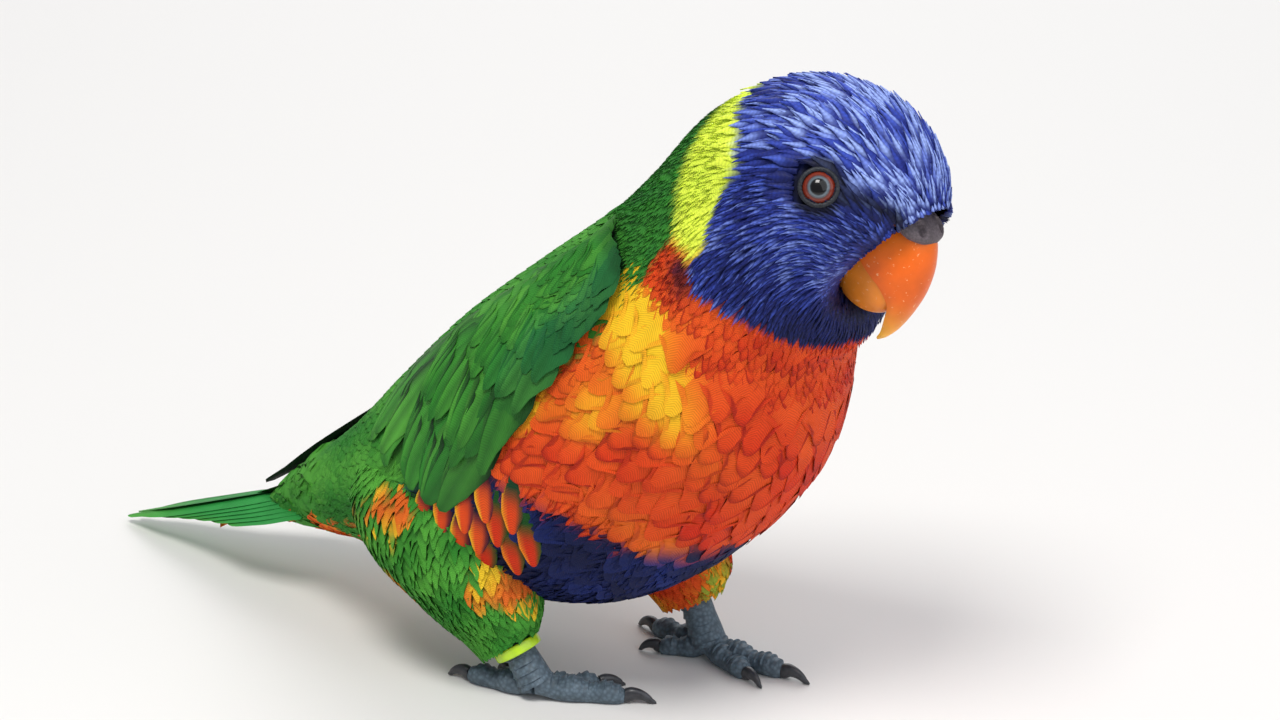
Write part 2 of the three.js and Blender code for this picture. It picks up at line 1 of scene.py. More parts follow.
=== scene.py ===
import bpy
import numpy as np
from mathutils import Matrix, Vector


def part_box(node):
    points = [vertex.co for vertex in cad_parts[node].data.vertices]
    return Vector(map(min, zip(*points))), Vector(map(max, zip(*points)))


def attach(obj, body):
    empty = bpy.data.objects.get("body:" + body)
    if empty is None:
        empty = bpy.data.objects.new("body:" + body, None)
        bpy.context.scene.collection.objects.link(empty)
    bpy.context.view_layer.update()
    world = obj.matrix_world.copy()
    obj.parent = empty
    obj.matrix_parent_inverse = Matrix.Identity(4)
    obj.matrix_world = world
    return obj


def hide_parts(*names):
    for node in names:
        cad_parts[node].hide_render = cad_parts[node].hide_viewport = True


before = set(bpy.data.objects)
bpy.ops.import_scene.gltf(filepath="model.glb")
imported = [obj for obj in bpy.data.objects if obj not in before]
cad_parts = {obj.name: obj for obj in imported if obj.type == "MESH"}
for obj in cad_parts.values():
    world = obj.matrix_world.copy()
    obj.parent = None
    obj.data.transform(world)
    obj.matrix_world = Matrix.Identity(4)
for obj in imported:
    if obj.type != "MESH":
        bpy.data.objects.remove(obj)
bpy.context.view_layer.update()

# A rainbow lorikeet standing on both feet. Sizes are in millimetres until a mesh is made, and the
# bird faces +X with its left side to +Y.
mm = 0.001
turn = 2 * np.pi
rng = np.random.default_rng(20)
left, right = 1, -1
sideNames = {left: "left", right: "right"}

# the body as sections: point on the back (x, z), point on the belly (x, z), half the width
bodySections = np.array([
    [-90, 29, -85, 17, 9], [-81, 37, -69, 19, 15.5], [-69.5, 47.5, -50, 18.5, 22],
    [-55, 63.5, -26, 18, 28], [-38, 81, 3, 22, 31.5], [-17.5, 98, 30, 39.5, 32],
    [0.5, 112.5, 49, 62, 30.5], [14, 126, 56, 88, 28], [27, 141, 60.5, 94, 26],
    [44, 149.5, 63.5, 98.5, 25.5], [61, 149, 63.5, 102, 23.5], [75, 139.2, 61.5, 104.5, 18.5],
    [81.3, 129.2, 59.5, 107.5, 11.5]])
head = {"roll": 10, "axisZ": 122, "rollStart": 6.4, "rollFull": 9}

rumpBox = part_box("rump")  # its hind edge is the first section's point on the back
shift = np.array([rumpBox[0][0] / mm - bodySections[0, 0], 0.0, 0.0])


def smooth(a, b, x):
    # an even step from 0 at a to 1 at b
    x = np.clip((x - a) / (b - a), 0, 1)
    return x * x * (3 - 2 * x)


def through(rows, s):
    # Catmull-Rom through the rows of a table, read at place s, where whole numbers are the rows
    s = np.asarray(s, float)
    last = len(rows) - 1
    i = np.clip(np.floor(s).astype(int), 0, last - 1)
    t = (s - i)[..., None]
    a, b, c, d = (rows[np.clip(i + k, 0, last)] for k in (-1, 0, 1, 2))
    curve = 0.5 * (2 * b + (c - a) * t + (2 * a - 5 * b + 4 * c - d) * t**2 + (3 * b - 3 * c + d - a) * t**3)
    return np.where(t < 0, b + (c - b) * t, curve)  # before the first row they run on straight


def unit(v):
    # vectors scaled to a length of 1
    return v / np.maximum(np.linalg.norm(v, axis=-1, keepdims=True), 1e-9)


def cocked(p, share=1.0):
    # turns points about a line along X by a share of the head's roll
    angle = -np.radians(head["roll"]) * share
    y, z = p[..., 1], p[..., 2] - head["axisZ"]
    return np.stack([p[..., 0], y * np.cos(angle) - z * np.sin(angle),
                     y * np.sin(angle) + z * np.cos(angle) + head["axisZ"]], -1)


def bodyPoint(s, around, lift=0.0):
    # section centre + (half height + lift) cos(around) up + (half width + lift) sin(around) sideways
    s, around, lift = np.broadcast_arrays(np.asarray(s, float), around, lift)
    row = through(bodySections, s)
    top, bottom, half = row[..., 0:2], row[..., 2:4], row[..., 4]
    up = top - bottom
    height = np.linalg.norm(up, axis=-1)
    rise = (height / 2 + lift) * np.cos(around) / height
    centre = (top + bottom) / 2
    p = np.stack([centre[..., 0] + up[..., 0] * rise, (half + lift) * np.sin(around),
                  centre[..., 1] + up[..., 1] * rise], -1)
    return cocked(p, smooth(head["rollStart"], head["rollFull"], s))


def slopes(surface, u, v, lift=0.0, step=0.01):
    # how a surface's point moves with u and with v, by central differences
    du = (surface(u + step, v, lift) - surface(u - step, v, lift)) / (2 * step)
    dv = (surface(u, v + step, lift) - surface(u, v - step, lift)) / (2 * step)
    return du, dv


# Meshes from arrays

def linear(hexColour):
    # an sRGB hex value as linear red, green and blue
    c = np.array([int(hexColour[i:i + 2], 16) for i in (1, 3, 5)]) / 255
    return np.where(c <= 0.04045, c / 12.92, ((c + 0.055) / 1.055) ** 2.4)


def addObject(name, data):
    made = bpy.data.objects.new(name, data)
    bpy.context.scene.collection.objects.link(made)
    return made


def makePiece(name, points, faces, material, replaced=(), colours=None, maps=None, sharp=None):
    # faces is a list of integer arrays, one for each number of corners
    mesh = bpy.data.meshes.new(name)
    flat = (np.reshape(points, (-1, 3)) + shift) * mm
    corners = np.concatenate([f.ravel() for f in faces]).astype(np.int32)
    totals = np.concatenate([np.full(len(f), f.shape[1]) for f in faces]).astype(np.int32)
    mesh.vertices.add(len(flat))
    mesh.vertices.foreach_set("co", flat.astype(np.float32).ravel())
    mesh.loops.add(len(corners))
    mesh.loops.foreach_set("vertex_index", corners)
    mesh.polygons.add(len(totals))
    mesh.polygons.foreach_set("loop_start", np.concatenate([[0], np.cumsum(totals)[:-1]]).astype(np.int32))
    mesh.polygons.foreach_set("loop_total", totals)
    mesh.update(calc_edges=True)
    for mapName, uv in (maps or {}).items():
        layer = mesh.uv_layers.new(name=mapName)
        layer.uv.foreach_set("vector", np.reshape(uv, (-1, 2))[corners].astype(np.float32).ravel())
    if colours is not None:
        rgba = np.concatenate([np.reshape(colours, (-1, 3)), np.ones((len(flat), 1))], 1)
        attribute = mesh.color_attributes.new("plumage", "FLOAT_COLOR", "POINT")
        attribute.data.foreach_set("color", rgba.astype(np.float32).ravel())
    mesh.polygons.foreach_set("use_smooth", np.ones(len(totals), bool))
    if sharp:
        mesh.set_sharp_from_angle(angle=np.radians(sharp))
    mesh.materials.append(material)
    mesh.validate(clean_customdata=False)
    piece = addObject(name, mesh)
    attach(piece, "root")
    if replaced:
        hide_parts(*replaced)
    print("made", name, len(totals), "faces")


def gridFaces(rows, columns):
    # quads of a grid of points, with the last column joined to the first
    low = np.arange(rows - 1)[:, None] * columns
    j = np.arange(columns)[None]
    k = (j + 1) % columns
    return np.stack([low + j, low + k, low + columns + k, low + columns + j], -1).reshape(-1, 4)


def tubeFaces(rows, columns):
    # a closed tube: its quads and an end face at each end
    ends = np.arange(columns)
    return [gridFaces(rows, columns), np.stack([ends[::-1], (rows - 1) * columns + ends])]


def torusFaces(rows, columns):
    # quads of a tube whose last row is joined to its first
    j = np.arange(columns)
    k = (j + 1) % columns
    low = (rows - 1) * columns
    return [np.concatenate([gridFaces(rows, columns), np.stack([low + j, low + k, k, j], -1)])]


def roundTurn(count):
    # evenly spaced angles round a full turn
    return np.linspace(0, turn, count, endpoint=False)


def globeAngles(rows, columns, end):
    # angles from one pole to the other, kept end short of both, and angles round it
    return np.linspace(end, np.pi - end, rows)[:, None], roundTurn(columns)[None]


def outward(faces, points):
    # turns all faces round if the closed mesh is inside out
    p = np.reshape(points, (-1, 3))
    volume = 0.0
    for f in faces:
        for k in range(1, f.shape[1] - 1):
            volume += np.sum(p[f[:, 0]] * np.cross(p[f[:, k]], p[f[:, k + 1]]))
    return faces if volume > 0 else [f[:, ::-1] for f in faces]


def joinTubes(grids):
    # closed tubes, each a grid of points, as one set of points and faces
    points, faces, start = [], [], 0
    for grid in grids:
        faces += [part + start for part in outward(tubeFaces(*grid.shape[:2]), grid)]
        points.append(grid.reshape(-1, 3))
        start += len(points[-1])
    return np.concatenate(points), faces


def ringFaces(count, rows, columns):
    # the faces of many like tubes, each rows by columns points
    quads, caps = tubeFaces(rows, columns)
    start = np.arange(count)[:, None, None] * rows * columns
    return [(quads[None] + start).reshape(-1, 4), (caps[None] + start).reshape(-1, columns)]


# Materials

def node(tree, kind, links=(), **settings):
    # settings name the node's properties or inputs, links pairs an input with another node's output
    made = tree.nodes.new("ShaderNode" + kind)
    for key, value in settings.items():
        if hasattr(made, key):
            setattr(made, key, value)
        else:
            made.inputs[key.replace("_", " ")].default_value = value
    for name, output in links:
        tree.links.new(output, made.inputs[name])
    return made


def newMaterial(name, **settings):
    # a material with its shader's inputs set
    material = bpy.data.materials.new(name)
    material.use_nodes = True
    shader = material.node_tree.nodes["Principled BSDF"]
    for key, value in settings.items():
        shader.inputs[key.replace("_", " ")].default_value = value
    return material, material.node_tree, shader


def tone(tree, factor, low, high):
    # a grey that runs from low to high with the factor
    return node(tree, "MapRange", [("Value", factor)], To_Min=low, To_Max=high).outputs["Result"]


def times(tree, colour, grey):
    # one colour multiplied by another
    mix = node(tree, "Mix", data_type="RGBA", blend_type="MULTIPLY")
    mix.inputs["Factor"].default_value = 1.0
    tree.links.new(colour, mix.inputs["A"])
    tree.links.new(grey, mix.inputs["B"])
    return mix.outputs["Result"]


def painted(tree):
    # the colours that each mesh carries
    return node(tree, "VertexColor", layer_name="plumage").outputs["Color"]


def grains(tree, kind, size, **settings):
    # a pattern with features size mm across, in the piece's own coordinates
    place = node(tree, "TexCoord").outputs["Object"]
    return node(tree, kind, [("Vector", place)], Scale=1 / (size * mm), **settings)


def rampOf(tree, factor, low, high, end=1.0):
    # colours from low to high, reached at the factor end
    ramp = node(tree, "ValToRGB", [("Fac", factor)])
    for element, colour, position in zip(ramp.color_ramp.elements, (low, high), (0.0, end)):
        element.color = (*colour, 1)
        element.position = position
    return ramp.outputs["Color"]


def mottledMaterial(name, dark, pale, size, detail, **settings):
    # a solid colour that drifts between two close tones
    material, tree, shader = newMaterial(name, **settings)
    noise = grains(tree, "TexNoise", size, Detail=detail)
    colour = rampOf(tree, noise.outputs["Fac"], linear(dark), linear(pale))
    tree.links.new(colour, shader.inputs["Base Color"])
    return material


# keratin barbs: a fine comb of lines slanting off each shaft, soft and nearly matt
barbSettings = {"spacing": 0.5, "depth": 0.04, "shade": 0.82, "mottle": 6.0}  # mm, but for the shade


def featherMaterial(name, roughness, **changes):
    values = {**barbSettings, **changes}
    material, tree, shader = newMaterial(name, Roughness=roughness, Specular_IOR_Level=0.16)
    barbs = node(tree, "UVMap", uv_map="barbs").outputs["UV"]
    # a wave texture's bands are 0.314 apart at scale 1, and the barbs map is in mm
    wave = node(tree, "TexWave", [("Vector", barbs)], bands_direction="X", Scale=0.314 / values["spacing"],
                Distortion=1.6, Detail=2.0, Detail_Scale=1.5)
    patch = grains(tree, "TexNoise", values["mottle"], Detail=3.0)
    combed = times(tree, painted(tree), tone(tree, wave.outputs["Fac"], values["shade"], 1.12))
    mottled = times(tree, combed, tone(tree, patch.outputs["Fac"], 0.78, 1.22))
    bump = node(tree, "Bump", [("Height", wave.outputs["Fac"])], Strength=0.8, Distance=values["depth"] * mm)
    tree.links.new(mottled, shader.inputs["Base Color"])
    tree.links.new(bump.outputs["Normal"], shader.inputs["Normal"])
    return material


# loose and nearly matt; wider combed; long silky barbs with a faint gleam; stiff and smooth
softPlumage = featherMaterial("softContourFeathers", 0.68)
broadPlumage = featherMaterial("broadBreastFeathers", 0.64, spacing=0.6, shade=0.8)
silkyHackles = featherMaterial("silkyHeadHackles", 0.52, spacing=0.9, shade=0.9, depth=0.02)
firmVanes = featherMaterial("firmFlightVanes", 0.52, shade=0.9, depth=0.03)
print("materials for feathers made")


eyePlace = {"s": 10.2, "around": np.radians(71), "radius": 4.7, "sunk": 3.3}


def eyeCentre(side, sunk=0.0):
    # where an eye's middle lies on the body's surface, less sunk, and the way it looks
    around = side * eyePlace["around"]
    du, dv = slopes(bodyPoint, eyePlace["s"], around)
    out = unit(np.cross(du, dv))
    out = out * np.sign(out[1] * side)
    return bodyPoint(eyePlace["s"], around) - out * sunk, out


# Plumage: colours as linear values
dye = {name: linear(value) for name, value in {
    "navy": "#10163d", "royal": "#27389a", "violetBlue": "#4059c8", "lilac": "#9db4f4", "cheek": "#252f86",
    "throat": "#0d1130", "lores": "#0b0c12", "collar": "#e2f24e", "collarEdge": "#a8d034",
    "neckGreen": "#2a6e30",
    "green": "#2f8029", "brightGreen": "#56a53a", "deepGreen": "#154a1a", "wingDark": "#0a2a10",
    "teal": "#1c6a55", "tail": "#2e9a4a",
    "orange": "#ee6220", "red": "#cf2b10", "darkRed": "#8f1a10", "yellow": "#fbc926", "amber": "#f6961c",
    "belly": "#0a0f2e", "bellyBlue": "#1a2c74", "rust": "#6a1f18", "soot": "#08080c"}.items()}


def blend(a, b, f):
    # from the colour a to the colour b as f goes from 0 to 1
    f = np.asarray(f)[..., None]
    return a * (1 - f) + b * f


def waves(p, size, seed=0.0):
    # a smooth, seeded unevenness between 0 and 1 with features about size mm across
    q = p / size * 2.2 + seed
    value = np.sin(q[..., 0] * 1.3 + 1.7 * np.sin(q[..., 1] * 0.9 + seed))
    value = value + np.sin(q[..., 1] * 1.1 + q[..., 2])
    value = value + np.sin(q[..., 2] * 1.4 - q[..., 0] * 0.6 + 2.0 * seed)
    return np.clip(value / 6 + 0.5, 0, 1)


# where the markings change, as places along the body at angles from the middle of the back
collarBack = ([0, 25, 50, 72, 84, 100], [8.05, 8.1, 7.72, 7.42, 7.5, 7.6])
collarFront = ([0, 20, 45, 63, 76, 86, 100], [8.5, 8.5, 8.55, 8.6, 8.2, 7.7, 7.6])
throatEdge = ([60, 87, 94, 110, 138, 160, 180], [7.3, 7.35, 7.2, 7.35, 7.8, 8.3, 8.62])
bellyEdge = ([80, 92, 111, 132, 153, 180], [4.1, 4.3, 4.62, 4.8, 5.02, 5.1])


def hump(x, middle, reach):
    # exp(-((x - middle) / reach)^2), 1 at the middle
    return np.exp(-((x - middle) / reach) ** 2)


def foldedDegrees(around):
    # degrees from the middle of the back, the same on both sides
    return np.abs(np.degrees((around + np.pi) % turn - np.pi))


def breastColour(s, degrees, t, x, luck, uneven):
    # orange feathers with red ends, yellow in a band below the collar's foot and at the wing's edge
    band = hump(s, 6.35 - 0.006 * (degrees - 80), 0.36) * (1 - smooth(84, 142, degrees))
    gold = 1.1 * band + 0.5 * hump(s, 5.5, 0.45) * hump(degrees, 86, 12)
    gold = gold + 0.9 * hump(s, 4.9, 0.28) * hump(degrees, 72, 8)
    gold = gold + 0.25 * hump(s, 5.0, 0.6) * hump(degrees, 140, 26)
    gold = np.clip(gold * (0.75 + 0.4 * luck) + 0.3 * (uneven - 0.5), 0, 1)
    end = smooth(0.5, 1.0, t)
    redness = 0.1 + 0.45 * (1 - uneven) + 0.3 * end + 0.35 * (luck - 0.5) + 0.2 * smooth(100, 170, degrees)
    fire = blend(dye["orange"], dye["red"], np.clip(redness, 0, 1))
    fire = blend(fire, dye["darkRed"], 0.7 * smooth(0.9, 1.0, t) * smooth(0.2, 0.7, luck))
    lemon = np.clip(smooth(0.3, 0.75, gold) - 0.5 * np.abs(x) ** 2 * end, 0, 1)
    bright = blend(dye["amber"], dye["yellow"], lemon)
    fire = blend(fire, bright, smooth(0.1, 0.6, gold) * (1 - 0.6 * end * (1 - gold)))
    bluish = smooth(0.8, 0.86, luck) * (1 - smooth(5.8, 6.2, s))  # a few low ones show a navy root
    return blend(fire, dye["navy"], 0.85 * (1 - smooth(0.35, 0.6, t)) * bluish)


def flankColour(t, x, luck):
    # scallops: deep green or blue towards the root and one edge, then red and orange, with a yellow rim
    root = blend(dye["deepGreen"], dye["belly"], smooth(0.4, 0.6, luck) + 0 * t)
    fire = blend(dye["red"], dye["orange"], 0.7 * luck)
    scallop = blend(root, fire, smooth(0.2, 0.6, t) * smooth(-0.9, -0.2, x))
    rim = blend(dye["amber"], dye["yellow"], smooth(0.3, 0.8, luck))
    return blend(scallop, rim, 0.9 * smooth(0.7, 0.95, x + 0.2 * t))


def hoodColour(s, degrees, t, x, luck, uneven, place):
    # navy edges and roots, and a pale streak down each shaft, palest on the crown and the brow
    crown = (1 - smooth(42, 66, degrees)) * smooth(8.4, 9.4, s)
    loreLine = 71 - 11.2 * (s - 10.1) - 2 * (s - 10.1) ** 2
    brow = hump(degrees, loreLine - 13, 8) * smooth(10.0, 10.6, s)
    throat = smooth(112, 148, degrees + 7 * (9 - s))
    strength = np.clip(0.42 + 0.36 * crown + 0.3 * brow + 1.0 * (luck - 0.5) + 0.5 * (uneven - 0.5), 0.04, 1)
    strength = strength * (1 - 0.85 * throat)
    base = blend(dye["navy"], dye["cheek"], np.clip(0.15 + 0.4 * uneven + 0.3 * crown, 0, 1) + 0 * t)
    base = blend(base, dye["throat"], 0.9 * throat + 0 * t)
    pale = blend(dye["royal"], dye["violetBlue"], smooth(0.0, 0.45, strength))
    paler = np.clip(0.5 + 0.5 * crown + 0.2 * brow, 0, 1)
    pale = blend(pale, dye["lilac"], smooth(0.4, 0.95, strength) * paler)
    colour = blend(base, pale, (1 - np.abs(x)) * smooth(0.2, 0.6, t) * np.clip(0.3 + strength, 0, 1))
    eyeAway = np.minimum(*(np.linalg.norm(place - eyeCentre(side)[0], axis=-1) for side in (left, right)))
    dark = hump(degrees, loreLine, 7.5) * smooth(10.2, 10.5, s) * (1 - 0.4 * smooth(11.7, 12.0, s))
    dark = np.maximum(dark, 1 - smooth(5.2, 7.4, eyeAway))
    return blend(colour, dye["lores"], 0.9 * dark + 0 * t)


def bodyColour(s, around, t, x, luck):
    # s and around are a place on the body, t runs along the feather there and x across it, and luck is the
    # feather's own number
    degrees = foldedDegrees(around)
    place = bodyPoint(s, around)
    uneven = waves(place, 9.0, 1.3)
    fine = waves(place, 3.0, 4.1)
    # mantle and back
    fresh = np.clip(uneven * 1.2 - 0.25 + 0.5 * (luck - 0.3), 0, 1)
    colour = blend(dye["green"], dye["brightGreen"], fresh + 0 * t)
    colour = blend(colour, dye["deepGreen"], 0.6 * (1 - smooth(0.3, 0.75, t)) + 0.25 * smooth(0.93, 1.0, t))
    neck = smooth(6.2, 6.9, s)
    colour = blend(colour, blend(dye["neckGreen"], dye["green"], fine), 0.7 * neck + 0 * t)
    # undertail and vent: green with orange and yellow
    vent = smooth(92, 108, degrees) * (1 - smooth(2.0, 2.9, s + 0.3 * (luck - 0.5)))
    warm = blend(dye["yellow"], dye["orange"], smooth(0.3, 0.9, t + 0.4 * (fine - 0.5)))
    leaf = blend(dye["green"], dye["brightGreen"], uneven)
    leaf = blend(leaf, warm, smooth(0.52, 0.62, luck * 0.6 + uneven * 0.4) + 0 * t)
    colour = blend(colour, leaf, vent + 0 * t)
    # breast, then the navy belly below it
    low = np.interp(degrees, *bellyEdge)
    below = smooth(68, 73, degrees + 3 * (luck - 0.5))
    belly = smooth(76, 86, degrees) * smooth(1.9, 2.8, s + 0.3 * (luck - 0.5))
    bellyColour = blend(dye["belly"], dye["bellyBlue"], np.clip(0.9 * uneven * t * (0.4 + luck), 0, 1))
    colour = blend(colour, bellyColour, belly + 0 * t)
    breast = below * smooth(low - 0.06, low + 0.1, s + 0.2 * (luck - 0.5))
    colour = blend(colour, breastColour(s, degrees, t, x, luck, uneven), breast + 0 * t)
    # dusky red patch at the foot of the collar
    patch = np.exp(-(((degrees - 86) / 8) ** 2) - ((s - 7.25) / 0.2) ** 2)
    colour = blend(colour, blend(dye["rust"], dye["throat"], fine), np.clip(1.2 * patch, 0, 0.9) + 0 * t)
    # collar
    back, ahead = np.interp(degrees, *collarBack), np.interp(degrees, *collarFront)
    collar = smooth(back - 0.16, back + 0.12, s + 0.1 * (luck - 0.5)) * (1 - smooth(82, 92, degrees))
    yellowing = np.clip(0.65 + 0.5 * uneven + 0.3 * (luck - 0.5), 0, 1)
    colour = blend(colour, blend(dye["collarEdge"], dye["collar"], yellowing + 0 * t), collar + 0 * t)
    # hood
    edge = np.where(degrees < 86, ahead, np.interp(degrees, *throatEdge))
    hood = smooth(edge - 0.05, edge + 0.07, s + 0.06 * (luck - 0.5))
    return blend(colour, hoodColour(s, degrees, t, x, luck, uneven, place), hood + 0 * t)


# Laying feathers on a surface

def surfaceRoots(surface, fromU, toU, fromV, toV, columns, exposure, wander=0.35):
    # rows of roots the exposure apart along u, in columns over v, every other column half a row on
    places = []
    u = np.linspace(fromU, toU, 220)
    edges = (np.arange(columns) + 0.5) / columns * (toV - fromV) + fromV
    line = surface(u[None], edges[:, None] + 0 * u[None])
    step = np.linalg.norm(np.diff(line, axis=1), axis=-1)
    travel = np.concatenate([np.zeros((columns, 1)), np.cumsum(step, 1)], 1)
    for k in range(columns):
        at = np.arange(0.5 * (k % 2), travel[k, -1] / exposure)
        at = (at + wander * (rng.random(len(at)) - 0.5)) * exposure
        uPlace = np.interp(at, travel[k], u)
        vPlace = edges[k] + wander * (rng.random(len(at)) - 0.5) * (toV - fromV) / columns
        places.append(np.stack([uPlace, vPlace], 1))
    return np.concatenate(places)


def ratesAt(surface, u, v, lie, lean):
    # how fast u and v change for each mm ahead along a feather, and for each mm across it
    du, dv = slopes(surface, u, v)
    e1 = unit(du) * lie
    normal = unit(np.cross(du, dv))
    ahead = e1 * np.cos(lean) + np.cross(normal, e1) * np.sin(lean)
    across = np.cross(normal, ahead)
    gram = np.stack([np.stack([(du * du).sum(-1), (du * dv).sum(-1)], -1),
                     np.stack([(du * dv).sum(-1), (dv * dv).sum(-1)], -1)], -2)
    return [np.linalg.solve(gram, np.stack([(du * w).sum(-1), (dv * w).sum(-1)], -1)[..., None])[..., 0]
            for w in (ahead, across)]


def layFeathers(surface, roots, lie, length, width, shape, lift, rise, lean=0.0, thick=0.35, tilt=0.0,
                walked=True):
    # Each feather is laid in the surface's own coordinates, so that it hugs the surface. Its middle line
    # is walked row by row from the root, or runs straight on in u and v if not walked. Then
    # point = surface(u, v, height), with u and v moved on from the line by the rounding of its end and
    # by the width x across it, and height = lift + rise t^1.3 + tilt x + the crown of its section. lie
    # is the sign of u along which it points, and lean turns it in the surface. Returns the points
    # (feathers, rows, ring, 3), t and x of each, the barbs map and, for its colours, the place (u, v)
    # halfway between each point and where the feather shows.
    count = len(roots)
    t, x = shape["t"], shape["x"]  # rows, and the columns of the upper face
    length = np.broadcast_to(length, count)
    lean = np.broadcast_to(lean, count)[:, None]
    places, rates = [roots], []
    for step in np.diff(t, append=t[-1]):
        rates.append(ratesAt(surface, *(places[-1] if walked else roots).T, lie, lean))
        places.append(places[-1] + rates[-1][0] * (length * step)[:, None])
    line = np.stack(places[:-1], 1)[:, :, None]  # feathers, rows, 1, (u, v)
    aheadRate = np.stack([r[0] for r in rates], 1)[:, :, None]
    acrossRate = np.stack([r[1] for r in rates], 1)[:, :, None]
    tt, xx = t[None, :, None], x[None, None, :]
    length = length[:, None, None]
    half = np.broadcast_to(width, count)[:, None, None] / 2
    ragged = 1 + shape["ragged"] * (rng.random((count, 1, len(x))) - 0.5)
    along = length * tt * (1 - shape["round"] * xx**2 * tt) * np.where(tt > 0.8, ragged, 1)
    aside = half * shape["outline"](tt) * xx + 0 * along
    lift, rise, tilt = (np.broadcast_to(value, count)[:, None, None] for value in (lift, rise, tilt))
    crown = thick * (1 - xx**2) * (1 - 0.4 * tt) + shape["camber"] * half * (1 - xx**2)
    height = lift + rise * tt**1.3 + crown + tilt * half * xx * np.minimum(2 * tt, 1)
    # the under side is one more column, below the middle
    middle = len(x) // 2
    along = np.concatenate([along, along[..., middle:middle + 1]], 2)
    aside = np.concatenate([aside, 0 * aside[..., :1]], 2)
    height = np.concatenate([height, height[..., middle:middle + 1] - thick * 1.3 * (1 - 0.4 * tt)], 2)
    uv = line + aheadRate * (along - length * tt)[..., None] + acrossRate * aside[..., None]
    points = surface(uv[..., 0], uv[..., 1], height)
    tFull = np.broadcast_to(tt, along.shape)
    xFull = np.broadcast_to(np.concatenate([xx, 0 * xx[..., :1]], 2), along.shape)
    barbs = np.stack([along - 0.6 * np.abs(aside) ** 1.25, aside], -1)
    shown = (uv[:, np.argmin(np.abs(t - 0.75)), middle][:, None, None] + uv) / 2
    return points, tFull, xFull, barbs, (shown[..., 0], shown[..., 1])


def featherShape(rows, columns, outline, roundness=0.3, ragged=0.0, camber=0.06):
    # rows run a little closer together at the tip
    return {"t": np.linspace(0, 1, rows) ** 0.85, "x": np.linspace(-1, 1, columns), "outline": outline,
            "round": roundness, "ragged": ragged, "camber": camber}


def broadOutline(t):
    # nearly parallel edges that round off at the tip
    return (0.55 + 0.45 * smooth(0, 0.4, t)) * (1 - 0.45 * smooth(0.6, 1.0, t) ** 2)


def lanceOutline(t):
    # widest before the middle and drawn out to a point
    return (0.5 + 0.5 * smooth(0, 0.4, t)) * (1 - 0.85 * smooth(0.5, 1.0, t))


# rows, columns, outline, rounding of the end, raggedness and camber
shapes = {
    "band": featherShape(8, 7, broadOutline, 0.12, 0.0, 0.1),
    "hackle": featherShape(4, 3, lanceOutline, 0.1, camber=0.1),
    "plume": featherShape(5, 5, lanceOutline, 0.1, 0.1, camber=0.14),
    "downy": featherShape(5, 3, lanceOutline, 0.2, 0.2, camber=0.08),
    "contour": featherShape(9, 9, broadOutline, 0.42, 0.03, camber=0.05),
    "small": featherShape(6, 5, broadOutline, 0.42, 0.05, camber=0.06),
    "flight": featherShape(14, 7, broadOutline, 0.5, 0.03, camber=0.07),
}
triangleLimit = 190000  # for one coat


def bakePatch(roots, spanU, spanV, t, x):
    # each feather is a patch 0.003 wide where its root lies on the unwrapped surface
    u = (roots[:, 0] - spanU[0]) / (spanU[1] - spanU[0])
    v = (roots[:, 1] - spanV[0]) / (spanV[1] - spanV[0])
    base = 0.01 + 0.98 * np.stack([u, v], -1)[:, None, None]
    return base + 0.0015 * np.stack([np.broadcast_to(x, t.shape), 2 * t - 1], -1)


def coat(name, surface, colouring, roots, lie, length, width, shape, lift, rise, spanU, spanV, material, slot,
         lean=0.0, thick=0.35, tilt=0.0):
    # one coat of feathers, made as a joined mesh
    shape = shapes[shape]
    count = len(roots)
    rows, columns = len(shape["t"]), len(shape["x"]) + 1
    perFeather = (rows - 1) * columns * 2 + 2 * (columns - 2)
    if count * perFeather > triangleLimit:
        print("coat", name, "has", count * perFeather, "triangles, over the limit")
    points, t, x, barbs, (u, v) = layFeathers(surface, roots, lie, length, width, shape, lift, rise, lean,
                                              thick, tilt)
    colours = colouring(u, v, t, x, rng.random(count)[:, None, None] + 0 * t)
    faces = outward(ringFaces(count, rows, columns), points)
    maps = {"barbs": barbs + 40 * rng.random((count, 1, 1, 1)),
            "OFBake": bakePatch(roots, spanU, spanV, t, x)}
    makePiece(name, points, faces, material, colours=colours, maps=maps, sharp=70)


def scatter(roots, spread):
    # a random number for each root, up to half the spread either side of 0
    return spread * (rng.random(len(roots)) - 0.5)


def varied(roots, least, spread):
    # a random number for each root, from least to least + spread
    return least + spread * rng.random(len(roots))


# The skin

coatDepth = {"body": 1.3, "thigh": 1.1, "face": 1.6}  # how far the skin lies below the feathers' roots
# the hollow of the face and the way it looks
dish = {"depth": 2.4, "turnBack": 16, "facing": (0.707, 0, -0.707)}


def faceSurface(r, around, lift=0.0):
    # the blunt front of the face: middle + r (rim - middle) + (lift - depth (1 - r^4)) along the way it
    # looks, and past the rim, where r is over 1, it turns back
    r, around, lift = np.broadcast_arrays(np.asarray(r, float), around, lift)
    rim = bodyPoint(12.0 + 0 * r, around)
    row = bodySections[-1]
    middle = cocked(np.array([(row[0] + row[2]) / 2, 0, (row[1] + row[3]) / 2]))
    axisPoint = np.array([0, 0, head["axisZ"]])
    way = cocked(dish["facing"] + axisPoint) - axisPoint
    reach = np.minimum(r, 1 + 0.3 * (r - 1))
    fall = dish["depth"] * (1 - np.minimum(r, 1) ** 4) + dish["turnBack"] * np.maximum(r - 1, 0)
    return middle + (rim - middle) * reach[..., None] + way * (lift - fall)[..., None]


